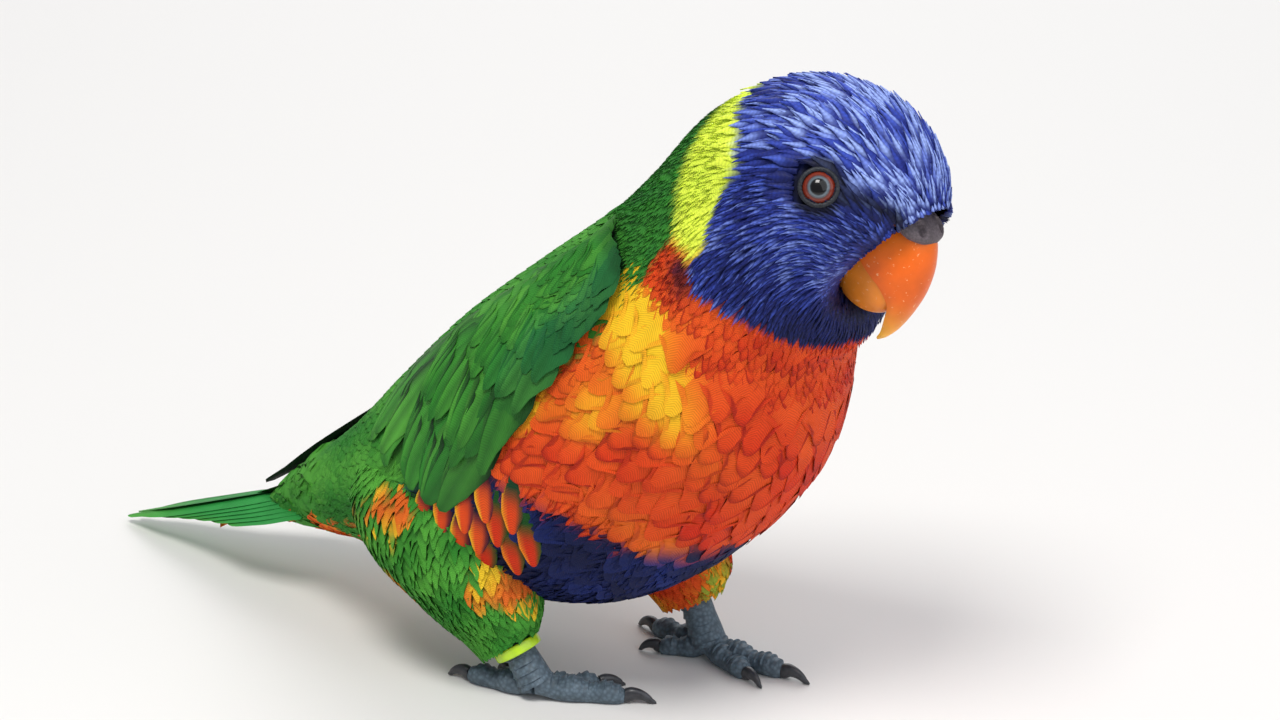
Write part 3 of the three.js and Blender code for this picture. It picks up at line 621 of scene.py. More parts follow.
def skinBody():
    # the body's surface sunk by the coat's depth, closed by an end face at the tail and a hollow at the face
    rows, columns = 150, 120
    around = roundTurn(columns)[None]
    s = np.linspace(0, 11.6, rows)[:, None] + 0 * around
    normal = unit(np.cross(*slopes(bodyPoint, s, around + 0 * s)))
    depth = coatDepth["body"] + 0.5 * smooth(10.4, 11.5, s)
    side = bodyPoint(s, around) - depth[..., None] * normal
    r = np.array([0.8, 0.6, 0.35, 0.12])[:, None] + 0 * around
    s = np.concatenate([s, 12 + 0 * r])
    return np.concatenate([side, faceSurface(r, around, -coatDepth["face"])]), s, around + 0 * s


# the toes' ways in degrees, and thighs as level sections: height, centre x and y, half length, half width
legs = {
    left: {"joint": (9.5, 20.5), "ankle": (4.5, 20.5, 15.5),
           "toes": {"outer": 2, "inner": -20, "hindOuter": 170, "hindInner": 205},
           "thigh": np.array([[10.5, 5.5, 20.6, 5.6, 5.4], [14.5, 4, 20.6, 8, 6.8], [20, 0, 20.6, 13.5, 9.5],
                              [28, -7, 20, 20, 13], [37, -13, 18, 24, 15], [46, -15, 16, 24, 15],
                              [58, -14, 9, 22, 12]])},
    right: {"joint": (-9.5, -19), "ankle": (-16.5, -20, 14.5),
            "toes": {"outer": 28, "inner": 52, "hindOuter": 187, "hindInner": 160},
            "thigh": np.array([[9.5, -16.5, -20, 5.6, 5.4], [13.5, -18, -20.2, 8.5, 7],
                               [19, -23.5, -20.6, 15, 10],
                               [26, -30, -20, 21, 13], [35, -34, -18, 25, 15], [44, -34, -16, 25, 15],
                              [57, -31, -10, 22, 12]])},
}


toeJointHeight = 3.4


def shankEnds(side):
    # the ankle and the joint of the toes
    return np.array(legs[side]["ankle"]), np.array([*legs[side]["joint"], toeJointHeight])


def thighSurface(side):
    def surface(h, around, lift=0.0):
        # an ellipse at each level, its sizes run through the sections, grown by lift and tilted near the
        # ankle: z = level + tilt (x - middle), so that the fore edge rises
        h, around, lift = np.broadcast_arrays(np.asarray(h, float), around, lift)
        z, cx, cy, rx, ry = np.moveaxis(through(legs[side]["thigh"], h), -1, 0)
        ahead = (rx + lift) * np.cos(around)
        tilt = 0.5 * (1 - smooth(0.3, 2.6, h))
        return np.stack([cx + ahead, cy + (ry + lift) * np.sin(around), z + tilt * ahead], -1)
    return surface


def thighColour(side):
    def colouring(h, around, t, x, luck):
        place = thighSurface(side)(h, around)
        uneven = waves(place, 7.0, 2.2 + side)
        blot = waves(place, 13.0, 7.7 + side) * 0.8 + 0.3 * luck
        warm = blend(dye["orange"], dye["yellow"], smooth(0.3, 0.9, uneven + 0.3 * (luck - 0.5)) + 0 * t)
        cool = blend(dye["green"], dye["brightGreen"], np.clip(uneven * 1.2 - 0.3 + 0.5 * luck, 0, 1) + 0 * t)
        cool = blend(cool, dye["deepGreen"], 0.5 * (1 - smooth(0.3, 0.7, t)))
        if side == right:
            return blend(cool, warm, 0.85 * smooth(0.7, 0.8, blot) * smooth(0.15, 0.5, t))
        warm = blend(dye["red"], warm, np.clip(0.1 + 0.8 * uneven, 0, 1) + 0 * t)
        return blend(warm, cool, 0.7 * smooth(0.66, 0.78, blot) + 0 * t)
    return colouring


def makeSkin():
    # the body and both thighs as one piece under the feathers, in their colours but darker: painted shade for
    # the gaps
    points, s, around = skinBody()
    # painted shade: the feather colours times 0.7 on the body and 0.5 on the thighs
    parts = [(points, bodyColour(s, around, 0 * s + 0.8, 0 * s + 0.5, 0 * s + 0.4) * 0.7,
              np.stack([0.02 + 0.78 * s / 12, 0.01 + 0.98 * around / turn], -1))]
    for side in (left, right):
        angle = roundTurn(48)[None]
        h = np.linspace(0.6, 6, 40)[:, None] + 0 * angle
        angle = angle + 0 * h
        parts.append((thighSurface(side)(h, angle, -coatDepth["thigh"]),
                      thighColour(side)(h, angle, 0 * h + 0.3, 0 * h, 0 * h + 0.4) * 0.5,
                      np.stack([0.82 + 0.16 * h / 6, 0.25 + 0.24 * side + 0.22 * angle / turn], -1)))
    points, faces = joinTubes([part[0] for part in parts])
    colours, uv = (np.concatenate([part[k].reshape(-1, part[k].shape[-1]) for part in parts]) for k in (1, 2))
    makePiece("skin", points, faces, softPlumage,
              replaced=("head", "neck", "torso", "rump", "thigh_left", "thigh_right"),
              colours=colours, maps={"barbs": uv * 60, "OFBake": uv})


makeSkin()

# The wings: a runs from the shoulder to the hind edge, b from the upper edge to the lower one

wing = {"topFront": (6.3, 30), "topBack": (2.3, 18), "lower": np.array([[6.5, 58], [5.1, 67], [3.7, 94]])}


def wingSurface(side):
    def surface(a, b, lift=0.0):
        # place along and around the body, mixed from the wing's upper and lower edges, then lifted off it
        a, b, lift = np.broadcast_arrays(np.asarray(a, float), b, lift)
        low = through(wing["lower"], a * 2)
        high = np.array(wing["topFront"]) * (1 - a[..., None]) + np.array(wing["topBack"]) * a[..., None]
        place = high * (1 - b[..., None]) + low * b[..., None]
        return bodyPoint(place[..., 0], side * np.radians(place[..., 1]), lift)
    return surface


def wingColour(side):
    def colouring(a, b, t, x, luck):
        place = wingSurface(side)(a, b)
        uneven = waves(place, 8.0, 3.3)
        fresh = np.clip(uneven * 0.9 - 0.1 + 0.9 * (luck - 0.5), 0, 1)
        colour = blend(dye["green"], dye["brightGreen"], fresh + 0 * t)
        colour = blend(colour, dye["deepGreen"], 0.4 * smooth(0.9, 1.0, t) + 0.25 * np.abs(x) ** 3)
        front = smooth(0.62, 0.95, b) * (1 - smooth(0.35, 0.7, a))
        colour = blend(colour, dye["teal"], 0.45 * front + 0 * t)
        colour = blend(colour, dye["deepGreen"], 0.5 * smooth(0.75, 1.0, b) + 0 * t)
        # painted shade: both edges of the hind vanes darken to near-black for the slits of shade between
        # overlapping vanes, and the roots darken as well
        inner = smooth(0.45, 1.0, np.abs(x)) * smooth(0.45, 0.7, a)
        colour = blend(colour, dye["wingDark"], np.clip(0.95 * inner + 0.5 * (1 - smooth(0.1, 0.5, t)), 0, 1))
        shaft = np.exp(-(x / 0.1) ** 2)
        return blend(colour, dye["deepGreen"], 0.5 * shaft * smooth(0.3, 0.5, a))
    return colouring


# tiers: how many, how long and wide, where the roots lie along and across, how high they ride and lean
wingTiers = {
    "flight": {"count": 12, "length": 43, "width": 8.6, "a": 0.54, "spread": (0.03, 1.02), "lift": 1.0,
               "rise": 0.6, "lean": 0.3},
    "greater": {"count": 12, "length": 27, "width": 8.4, "a": 0.44, "spread": (0.04, 1.0), "lift": 1.6,
                "rise": 0.8, "lean": 0.32},
    "median": {"count": 13, "length": 20, "width": 8.0, "a": 0.34, "spread": (0.03, 0.98), "lift": 2.0,
               "rise": 0.8, "lean": 0.34},
    "lesser": {"count": 14, "length": 16, "width": 7.6, "a": 0.25, "spread": (0.03, 0.97), "lift": 2.2,
               "rise": 0.8, "lean": 0.34},
}


def wingRoots(tier):
    # one root for each feather of a tier, a little out of line
    count = tier["count"]
    b = np.linspace(*tier["spread"], count)
    a = tier["a"] + 0.05 * (rng.random(count) - 0.5)
    return np.stack([a, b + 0.015 * (rng.random(count) - 0.5)], 1)


def joinParts(parts):
    # sets of points, colours and maps with rows and columns of their own, as one set
    points, faces, maps, colours, start = [], [], {"barbs": [], "OFBake": []}, [], 0
    for part in parts:
        p = part["points"]
        count, rows, columns = p.shape[:3]
        quads, caps = outward(ringFaces(count, rows, columns), p)
        faces += [quads + start, caps + start]
        points.append(p.reshape(-1, 3))
        colours.append(part["colours"].reshape(-1, 3))
        maps["barbs"].append(part["barbs"].reshape(-1, 2))
        maps["OFBake"].append(part["bake"].reshape(-1, 2))
        start += count * rows * columns
    maps = {name: np.concatenate(part) for name, part in maps.items()}
    return np.concatenate(points), faces, maps, np.concatenate(colours)


def wingTierParts(side):
    # the tiers of long vanes, each feather a little different in size and lean
    parts = []
    for tier in wingTiers.values():
        roots = wingRoots(tier)
        low = 0.55 + 0.45 * smooth(0, 0.35, roots[:, 1])  # they ride lower by the upper edge
        length = tier["length"] * (1 + scatter(roots, 0.14))
        lean = tier["lean"] * (1 - roots[:, 1]) ** 0.5 + scatter(roots, 0.14)
        points, t, x, barbs, (u, v) = layFeathers(
            wingSurface(side), roots, 1, length, tier["width"], shapes["flight"], tier["lift"] * low,
            tier["rise"] * low, lean=lean, thick=0.3, tilt=side * 0.1, walked=False)
        luck = rng.random(len(roots))[:, None, None] + 0 * t
        parts.append({"points": points, "barbs": barbs, "colours": wingColour(side)(u, v, t, x, luck),
                      "bake": bakePatch(roots, (0, 1.2), (0, 1.2), t, x)})
    return parts


def wingCorePart(side):
    # the arm of the wing under its feathers, a thin closed shell that bulges in the middle, dark as painted
    # shade between the vanes
    rows, columns = 40, 30
    a = np.linspace(-0.03, 0.86, rows)[:, None]
    b = np.linspace(0.0, 1.0, columns)[None]
    bulge = 2.2 * np.sin(np.pi * np.clip(b, 0.05, 0.95)) ** 0.6
    bulge = bulge * smooth(-0.1, 0.25, a) * (1 - 0.8 * smooth(0.3, 0.8, a))
    upper = wingSurface(side)(a, b, 0.2 + bulge)
    under = wingSurface(side)(a, b, -0.9)[:, ::-1]
    points = np.concatenate([upper, under], 1)[None]
    t = np.broadcast_to(np.linspace(0, 1, rows)[:, None], points.shape[1:3])[None]
    # painted shade: the whole shell in the wing's darkest green, seen where the vanes part
    colours = np.broadcast_to(dye["wingDark"], points.shape)
    return {"points": points, "barbs": np.stack([t * 40, t * 9], -1), "colours": colours,
            "bake": 0.9 + 0.05 * np.stack([t, t], -1)}


# the long ones of the left wing: the first one's tip, the step to the next and how many
primaries = {"tip": (-111, 8.5, 16.5), "step": (6, 1.5, 1.5), "count": 4, "width": 7.5}


def longPrimaryPart(side):
    # quadratic curves from under the wing's hind edge, over the rump to the tips beside the tail
    count = primaries["count"]
    k = np.arange(count)[:, None]
    surface = wingSurface(side)
    start = surface(np.full(count, 0.7), 0.16 + 0.08 * k[:, 0], 0.6)
    over = surface(np.full(count, 1.14), 0.2 + 0.08 * k[:, 0], 1.2)
    end = np.array(primaries["tip"]) + k * np.array(primaries["step"])
    t = shapes["flight"]["t"][None, :, None]
    line = (1 - t) ** 2 * start[:, None] + 2 * t * (1 - t) * over[:, None] + t**2 * end[:, None]
    return curveVanes(line, np.array([-0.35, side * 0.6, 0.75]), primaries["width"], 0.7, dye["soot"],
                      dye["wingDark"])


def curveVanes(line, outwardWay, width, thick, colour, rimColour):
    # vanes along given lines (vanes, rows, 3): across = tangent x the outward way, section as on the body
    tangent = unit(np.gradient(line, axis=1))
    across = unit(np.cross(tangent, outwardWay))
    up = unit(np.cross(across, tangent))
    shape = shapes["flight"]
    x = np.concatenate([shape["x"], [0.0]])[None, None]  # the last column is the under side
    t = shape["t"][None, :, None]
    aside = width / 2 * shape["outline"](t) * (1 - smooth(0.82, 1.0, t) * 0.5) * x
    under = np.arange(x.shape[-1]) == x.shape[-1] - 1
    crown = np.where(under, -0.5, 1 - x**2) * thick * (1 - 0.5 * t)
    pull = -shape["round"] * x**2 * t**3 * width * 0.5
    points = line[:, :, None] + across[:, :, None] * aside[..., None] + up[:, :, None] * crown[..., None]
    points = points + tangent[:, :, None] * pull[..., None]
    number = np.arange(len(line))[:, None, None]
    t, x, aside = (value + np.zeros(points.shape[:3]) for value in (t, x, aside))
    length = np.linalg.norm(line[:, -1] - line[:, 0], axis=-1)[:, None, None]
    colours = blend(colour, rimColour, smooth(0.5, 0.9, np.abs(x)))
    return {"points": points, "t": t, "x": x, "colours": colours,
            "barbs": np.stack([t * length - 0.75 * np.abs(aside), aside], -1),
            "bake": 0.3 + 0.0015 * np.stack([x, 2 * t - 1], -1) + 0.02 * number[..., None]}


coverts = {"columns": 14, "exposure": 4.2, "length": 11.0, "width": 6.8, "lift": 2.0, "rise": 0.9}


def makeWing(side):
    parts = [wingCorePart(side), *wingTierParts(side)]
    if side == left:
        parts.append(longPrimaryPart(side))
    points, faces, maps, colours = joinParts(parts)
    name = sideNames[side]
    makePiece("wing_vanes_" + name, points, faces, firmVanes, replaced=("wing_" + name,),
              colours=colours, maps=maps, sharp=70)
    roots = surfaceRoots(wingSurface(side), -0.05, 0.27, 0.0, 1.0, coverts["columns"], coverts["exposure"])
    low = 0.5 + 0.5 * smooth(0, 0.3, roots[:, 1])
    coat("wing_coverts_" + name, wingSurface(side), wingColour(side), roots, 1, coverts["length"],
         coverts["width"], "small", coverts["lift"] * low, coverts["rise"] * low, (-0.1, 1.1), (-0.1, 1.1),
         softPlumage, "green_feathers", lean=0.25 + scatter(roots, 0.3), thick=0.2, tilt=scatter(roots, 0.12))


makeWing(left)
makeWing(right)
print("wings made")

# Body plumage

# each coat's reach along the body and round it, its columns of feathers, how far apart the roots in them
# are, and the size, depth and rise of one feather
coats = {
    "hackles": {"along": (8.5, 12.0), "degrees": (0, 360), "columns": 104, "apart": 2.0, "shape": "plume",
                "length": 8.2, "width": 2.5, "lift": -1.1, "rise": 1.3, "thick": 0.35},
    "cheek_hackles": {"along": (7.2, 12.0), "degrees": (70, 290), "columns": 92, "apart": 1.45,
                      "shape": "hackle", "length": 5.2, "width": 1.3, "lift": -0.9, "rise": 1.2,
                      "thick": 0.35},
    "nape_feathers": {"along": (6.1, 8.75), "degrees": (-92, 92), "columns": 96, "apart": 1.35,
                      "shape": "downy", "length": 5.6, "width": 1.6, "lift": -0.8, "rise": 1.1, "thick": 0.2},
    "crop_feathers": {"along": (6.6, 9.2), "degrees": (70, 290), "columns": 58, "apart": 2.6,
                      "shape": "small", "length": 9.0, "width": 5.0, "lift": -0.9, "rise": 0.8, "thick": 0.2},
    "breast_feathers": {"along": (4.6, 7.1), "degrees": (62, 298), "columns": 24, "apart": 4.9,
                        "shape": "contour", "length": 17.0, "width": 13.5, "lift": -0.8, "rise": 1.3,
                        "thick": 0.16},
    "belly_feathers": {"along": (1.2, 5.2), "degrees": (74, 286), "columns": 64, "apart": 3.0,
                       "shape": "small", "length": 9.5, "width": 3.6, "lift": -0.8, "rise": 1.4,
                       "thick": 0.25},
    "back_feathers": {"along": (0.6, 6.5), "degrees": (-82, 82), "columns": 44, "apart": 3.2,
                      "shape": "small", "length": 10.0, "width": 6.4, "lift": -0.8, "rise": 1.2,
                      "thick": 0.25},
    "tail_coverts": {"along": (-0.2, 1.6), "degrees": (0, 360), "columns": 22, "apart": 3.6,
                     "shape": "small", "length": 15.0, "width": 6.6, "lift": -0.9, "rise": 1.8,
                     "thick": 0.25},
}
bodySpan = ((-0.2, 12.4), (0, turn))


def coatRoots(name):
    # roots of a coat, with their degrees from the middle of the back
    values = coats[name]
    roots = surfaceRoots(bodyPoint, *values["along"], *np.radians(values["degrees"]), values["columns"],
                         values["apart"])
    return roots, foldedDegrees(roots[:, 1])


def bodyCoat(name, roots, material, slot, colouring=bodyColour, **changes):
    # a coat on the body in the sizes of its dictionary, but for the changes
    values = {key: coats[name][key] for key in ("length", "width", "shape", "lift", "rise", "thick")}
    coat(name, bodyPoint, colouring, roots, -1, spanU=bodySpan[0], spanV=bodySpan[1], material=material,
         slot=slot, **{**values, **changes})


def clearOfEyes(roots):
    # keeps the roots that lie further than 4.9 from the middle of each eye
    for side in (left, right):
        away = np.linalg.norm(bodyPoint(roots[:, 0], roots[:, 1]) - eyeCentre(side)[0], axis=-1)
        roots = roots[away > 4.9]
    return roots


def under(wingSide, roots):
    # True where a root lies well beneath the wing's feathers
    degrees = np.degrees((roots[:, 1] + np.pi) % turn - np.pi) * wingSide
    a = np.clip((6.4 - roots[:, 0]) / 3.6, 0, 1)
    return (degrees > 30 - 6 * a) & (degrees < 52 + 34 * a) & (roots[:, 0] < 5.9) & (roots[:, 0] > 3.4)


def ruffle(roots, size, amount, seed):
    # how far feathers turn aside: in patches of one size, and a little each by itself
    drift = 2 * waves(bodyPoint(roots[:, 0], roots[:, 1]), size, seed) - 1
    return amount * (drift + scatter(roots, 0.8))


def mirrored(around, degrees):
    # the angle of so many degrees from the middle of the back, on the side where around lies
    return np.sign(np.sin(around)) * degrees


def faceColour(r, around, t, x, luck):
    # the colours at the face's rim, with its lower part as dark as its side
    return bodyColour(12.0 - 0.5 * r, mirrored(around, np.minimum(np.radians(foldedDegrees(around)), 2.1)),
                      t, x, luck)


def belowWing(s, around, t, x, luck):
    # the breast's markings, for feathers whose ends reach up beside the wing
    return bodyColour(s, mirrored(around, np.maximum(np.radians(foldedDegrees(around)), 1.33)), t, x, luck)


def makeHeadCoats():
    crown = clearOfEyes(coatRoots("hackles")[0])
    degrees = foldedDegrees(crown[:, 1])
    crown = crown[crown[:, 0] > np.where(degrees < 86, 8.5, np.interp(degrees, *throatEdge)) + 0.22]
    onLeft = crown[:, 1] % turn < np.pi
    full = coats["hackles"]
    for name, roots in (("left", crown[onLeft]), ("right", crown[~onLeft])):
        # shorter and finer towards the cheek and the brow
        fine = np.clip(smooth(64, 84, foldedDegrees(roots[:, 1])) + smooth(10.8, 11.9, roots[:, 0]), 0, 1)
        coat("hackles_" + name, bodyPoint, bodyColour, roots, -1,
             (full["length"] - 4.4 * fine) * varied(roots, 0.8, 0.4),
             (full["width"] - 1.2 * fine) * varied(roots, 0.8, 0.4), full["shape"],
             full["lift"] + 0.9 * rng.random(len(roots)) * (1 - 0.6 * fine), full["rise"] - 0.6 * fine,
             *bodySpan, silkyHackles, "blue_feathers", ruffle(roots, 7.0, 0.34, 3.0), full["thick"],
             scatter(roots, 0.3))
    throat, degrees = coatRoots("cheek_hackles")
    throat = clearOfEyes(throat[throat[:, 0] > np.interp(degrees, *throatEdge) + 0.25])
    bodyCoat("cheek_hackles", throat, silkyHackles, "blue_feathers",
             length=coats["cheek_hackles"]["length"] - 2.2 * smooth(11, 12, throat[:, 0]),
             lift=coats["cheek_hackles"]["lift"] + 0.5 * rng.random(len(throat)),
             lean=ruffle(throat, 8.0, 0.25, 5.0))
    roots = surfaceRoots(faceSurface, 0.35, 0.98, 0, turn, 90, 1.1)
    # none within the cere and the base of the bill: away is the distance from the line between their middles
    high, low = cocked(np.array([[75.8, 0, 124.5], [62, 0, 112.5]]))
    reach = faceSurface(roots[:, 0], roots[:, 1]) - high
    share = np.clip(reach @ (low - high) / np.sum((low - high) ** 2), 0, 1)[:, None]
    away = np.linalg.norm((reach - share * (low - high)) / [1, 1.15, 1], axis=-1)
    roots, away = roots[away > 6.2], away[away > 6.2]
    coat("face_hackles", faceSurface, faceColour, roots, 1, 2.4 + 1.2 * smooth(6, 9, away), 1.2, "hackle",
         -0.4, 0.6, (0, 1.4), (0, turn), silkyHackles, "blue_feathers", lean=scatter(roots, 0.5))


def makeFrontCoats():
    neck, degrees = coatRoots("nape_feathers")
    collarFoot = np.interp(degrees, *collarFront) + 0.05
    neck = neck[((degrees < 74) | (neck[:, 0] > 7.1)) & (neck[:, 0] < collarFoot)]
    bodyCoat("nape_feathers", neck, softPlumage, "yellow_green_feathers",
             length=coats["nape_feathers"]["length"] * varied(neck, 0.8, 0.4),
             lean=ruffle(neck, 12.0, 0.2, 1.0))
    upper, degrees = coatRoots("crop_feathers")
    upper = upper[upper[:, 0] < np.interp(degrees, *throatEdge) + 0.45]
    bodyCoat("crop_feathers", upper, softPlumage, "orange_feathers", belowWing, tilt=scatter(upper, 0.1),
             lean=ruffle(upper, 14.0, 0.2, 2.0))
    breast = coatRoots("breast_feathers")[0]
    bodyCoat("breast_feathers", breast, broadPlumage, "orange_feathers", belowWing,
             length=coats["breast_feathers"]["length"] * varied(breast, 0.88, 0.24),
             tilt=scatter(breast, 0.08), lean=ruffle(breast, 26.0, 0.3, 6.0))
    lower, degrees = coatRoots("belly_feathers")
    lower = lower[lower[:, 0] < np.interp(degrees, *bellyEdge) + 0.5]
    bodyCoat("belly_feathers", lower, softPlumage, "orange_feathers", lean=ruffle(lower, 12.0, 0.4, 4.0))


# the flank's rows, each with the place along the body of its ends, its degrees and how many feathers
flank = {"rows": (((3.1, 4.4), 100, 7), ((3.0, 4.5), 90, 8), ((3.1, 4.3), 80, 6)), "length": 14.0,
         "width": 5.4}
thighFeather = {"length": 7.5, "width": 3.2, "columns": 60, "apart": 2.3, "clearOfFoot": 2.3}


def makeFlankCoat(side):
    def colouring(s, around, t, x, luck):
        return flankColour(t, x * side, luck)
    roots = np.concatenate([
        np.stack([np.linspace(*ends, count), side * np.radians(degrees + 4 * rng.random(count))], 1)
        for ends, degrees, count in flank["rows"]])
    lean = -side * varied(roots, 0.9, 0.25)
    coat("flank_feathers_" + sideNames[side], bodyPoint, colouring, roots, -1, flank["length"],
         flank["width"], "band", 0.3, 1.2, *bodySpan, broadPlumage, "orange_feathers", lean, 0.2, side * 0.1)


def makeThighCoat(side):
    surface = thighSurface(side)
    roots = surfaceRoots(surface, 0.7, 5.6, 0, turn, thighFeather["columns"], thighFeather["apart"])
    ankle, joint = shankEnds(side)
    axis = unit(joint - ankle)
    # no feather may reach past the foot's top: their ends are kept on the body's side of it
    length = thighFeather["length"] * varied(roots, 0.85, 0.3)
    pace = np.linalg.norm(slopes(surface, roots[:, 0], roots[:, 1])[0], axis=-1)
    start = (surface(roots[:, 0], roots[:, 1]) - ankle) @ axis
    end = (surface(roots[:, 0] - length / pace, roots[:, 1]) - ankle) @ axis
    room = (thighFeather["clearOfFoot"] - start) / np.maximum(end - start, 0.01)
    length = length * np.clip(room, 0, 1)
    roots, length = roots[length > 1.8], length[length > 1.8]
    coat("thigh_feathers_" + sideNames[side], surface, thighColour(side), roots, -1, length,
         thighFeather["width"], "small", -0.8, 1.1, (-0.2, 6.2), (0, turn), softPlumage, "orange_feathers",
         lean=scatter(roots, 0.5), thick=0.25)


def makeBackCoats():
    back = coatRoots("back_feathers")[0]
    back = back[~(under(left, back) | under(right, back))]
    bodyCoat("back_feathers", back, softPlumage, "green_feathers", lean=ruffle(back, 16.0, 0.2, 8.0))
    rump = coatRoots("tail_coverts")[0]
    bodyCoat("tail_coverts", rump, softPlumage, "green_feathers",
             length=coats["tail_coverts"]["length"] - 3 * smooth(0, 1.5, rump[:, 0]),
             lift=coats["tail_coverts"]["lift"] + 0.6 * rng.random(len(rump)), tilt=scatter(rump, 0.3),
             lean=scatter(rump, 0.3))


makeHeadCoats()
makeFrontCoats()
for side in (left, right):
    makeFlankCoat(side)
    makeThighCoat(side)
makeBackCoats()
print("plumage made")

# The tail: graduated vanes that lie over one another, the middle pair longest

tail = {"root": (-87.85, 0, 22.85), "tip": (-147, 0, 1.6), "pairs": 6, "width": 8.4}


def makeTail():
    # each vane's line = root + along (length place) + up height + sideways outer, drawing in towards the tip
    root, tip = np.array(tail["root"]), np.array(tail["tip"])
    along = unit(tip - root)
    length = np.linalg.norm(tip - root)
    up = unit(np.cross([0, 1, 0], along))
    up = up * np.sign(up[2])
    sideways = np.array([0, 1, 0])
    t = shapes["flight"]["t"][:, None]
    parts = []
    for k in range(tail["pairs"] - 1, -1, -1):  # from the outermost pair to the middle one
        for side in (left, right):
            onTop = side == left  # the left vane of a pair lies over the right one
            reach = 1 - 0.12 * k - 0.015 * k * onTop - 0.03 * (k == 0 and onTop)
            place = -0.08 + (reach + 0.08) * t
            outer = side * ((1.7 + 1.7 * k) * (1 - 0.62 * place) + 0.3)
            height = (-0.75 * k + 0.35 * onTop) * (1 - 0.45 * place) + 1.3 * (1 - place)
            line = root + along * length * place + up * height + sideways * outer
            vane = curveVanes(line[None], unit(up + sideways * side * 0.16), tail["width"] - 0.3 * k, 0.5,
                              dye["green"], dye["deepGreen"])
            share = smooth(0.55, 1.0, vane["t"])
            colour = blend(blend(dye["green"], dye["tail"], 0.7 + 0 * share), dye["brightGreen"], 0.7 * share)
            colour = blend(colour, dye["deepGreen"], 0.45 * smooth(0.3, 1.0, -vane["x"] * side))
            vane["colours"] = blend(colour, dye["wingDark"], 0.35 * np.exp(-(vane["x"] / 0.09) ** 2))
            parts.append(vane)
    points, faces, maps, colours = joinParts(parts)
    makePiece("tail_vanes", points, faces, firmVanes, replaced=("tail",), colours=colours,
              maps=maps, sharp=70)


makeTail()
print("tail made")

# Bill, cere and eyes

bill = {
    # ridge (x, z), cutting edge (x, z), half width, from the base to the tip
    "upper": np.array([[74.3, 127, 62.5, 120.5, 7.4], [79, 123.3, 65.5, 117.4, 7.2],
                       [80, 117.3, 68.5, 113.8, 6.6],
                       [78.8, 111.3, 71.2, 110.8, 5.6], [76.3, 106.2, 72.6, 107.2, 4.2],
                       [73.6, 102.2, 71.4, 103.8, 2.7], [71, 99.8, 70.2, 101, 1.5],
                       [69, 98.8, 68.9, 99.4, 0.6]]),
    "lower": np.array([[57.5, 110, 64, 121, 6.4], [60.5, 106.5, 66.5, 117, 6.2],
                       [64.3, 104.6, 70, 112.5, 5.6],
                       [68.3, 104.4, 72.5, 109, 4.4], [71.3, 105.4, 73.4, 107.6, 2.6]]),
    "base": "#f07a14", "middle": "#e8640a", "tip": "#f4b640", "fleck": "#f6b27a"}


def billPoints(half, count, arch, hollow=0.2):
    # each section is an arch from edge to edge over the ridge, closed by a shallow hollow underneath
    table = bill[half]
    s = np.linspace(0, len(table) - 1, count)
    rx, rz, ex, ez, wide = through(table, s).T
    ridge = np.stack([rx, 0 * rx, rz], -1)
    edge = np.stack([ex, 0 * ex, ez], -1)
    depth = np.linalg.norm(ridge - edge, axis=-1)[:, None]
    out = (ridge - edge) / depth
    angle = np.linspace(-np.pi / 2, np.pi / 2, arch)[None]
    p = edge[:, None] + out[:, None] * (depth * np.abs(np.cos(angle)) ** 0.8)[..., None]
    p[..., 1] = wide[:, None] * np.sin(angle)
    back = np.linspace(0.8, -0.8, 6)[None]
    q = edge[:, None] + out[:, None] * (depth * hollow * (1 - back**2))[..., None]
    q[..., 1] = wide[:, None] * back
    return cocked(np.concatenate([p, q], 1)), s


def hornMaterial():
    # waxy keratin: smooth, lit from within, clouded and with pale flecks
    material, tree, shader = newMaterial(
        "waxyBillHorn", Roughness=0.38, Subsurface_Weight=0.08, Specular_IOR_Level=0.35,
        Subsurface_Radius=(0.004, 0.0015, 0.0006), Subsurface_Scale=0.5, IOR=1.54)
    cloud = grains(tree, "TexNoise", 5, Detail=4.0)
    fleck = grains(tree, "TexNoise", 0.9, Detail=2.0)
    spots = node(tree, "MapRange", [("Value", fleck.outputs["Fac"])], From_Min=0.66, From_Max=0.74)
    shaded = times(tree, painted(tree), tone(tree, cloud.outputs["Fac"], 0.75, 1.25))
    mix = node(tree, "Mix", [("Factor", spots.outputs["Result"])], data_type="RGBA")
    tree.links.new(shaded, mix.inputs["A"])
    mix.inputs["B"].default_value = (*linear(bill["fleck"]), 1)
    tree.links.new(mix.outputs["Result"], shader.inputs["Base Color"])
    bump = node(tree, "Bump", [("Height", cloud.outputs["Fac"])], Strength=0.25, Distance=0.4 * mm)
    tree.links.new(bump.outputs["Normal"], shader.inputs["Normal"])
    return material


def makeBill():
    horn = hornMaterial()
    base, middle, tip = (linear(bill[part]) for part in ("base", "middle", "tip"))
    for half, count in (("upper", 64), ("lower", 44)):
        points, s = billPoints(half, count, 41)
        share = (s / s[-1])[:, None] + 0 * points[..., 0]
        paling = smooth(0.45, 0.95, share) if half == "upper" else 0.35 + 0 * share
        colours = blend(blend(base, middle, smooth(0.0, 0.3, share)), tip, paling)
        faces = outward(tubeFaces(*points.shape[:2]), points)
        makePiece(f"bill_{half}_horn", points, faces, horn, replaced=("bill_" + half,),
                  colours=colours, sharp=50)


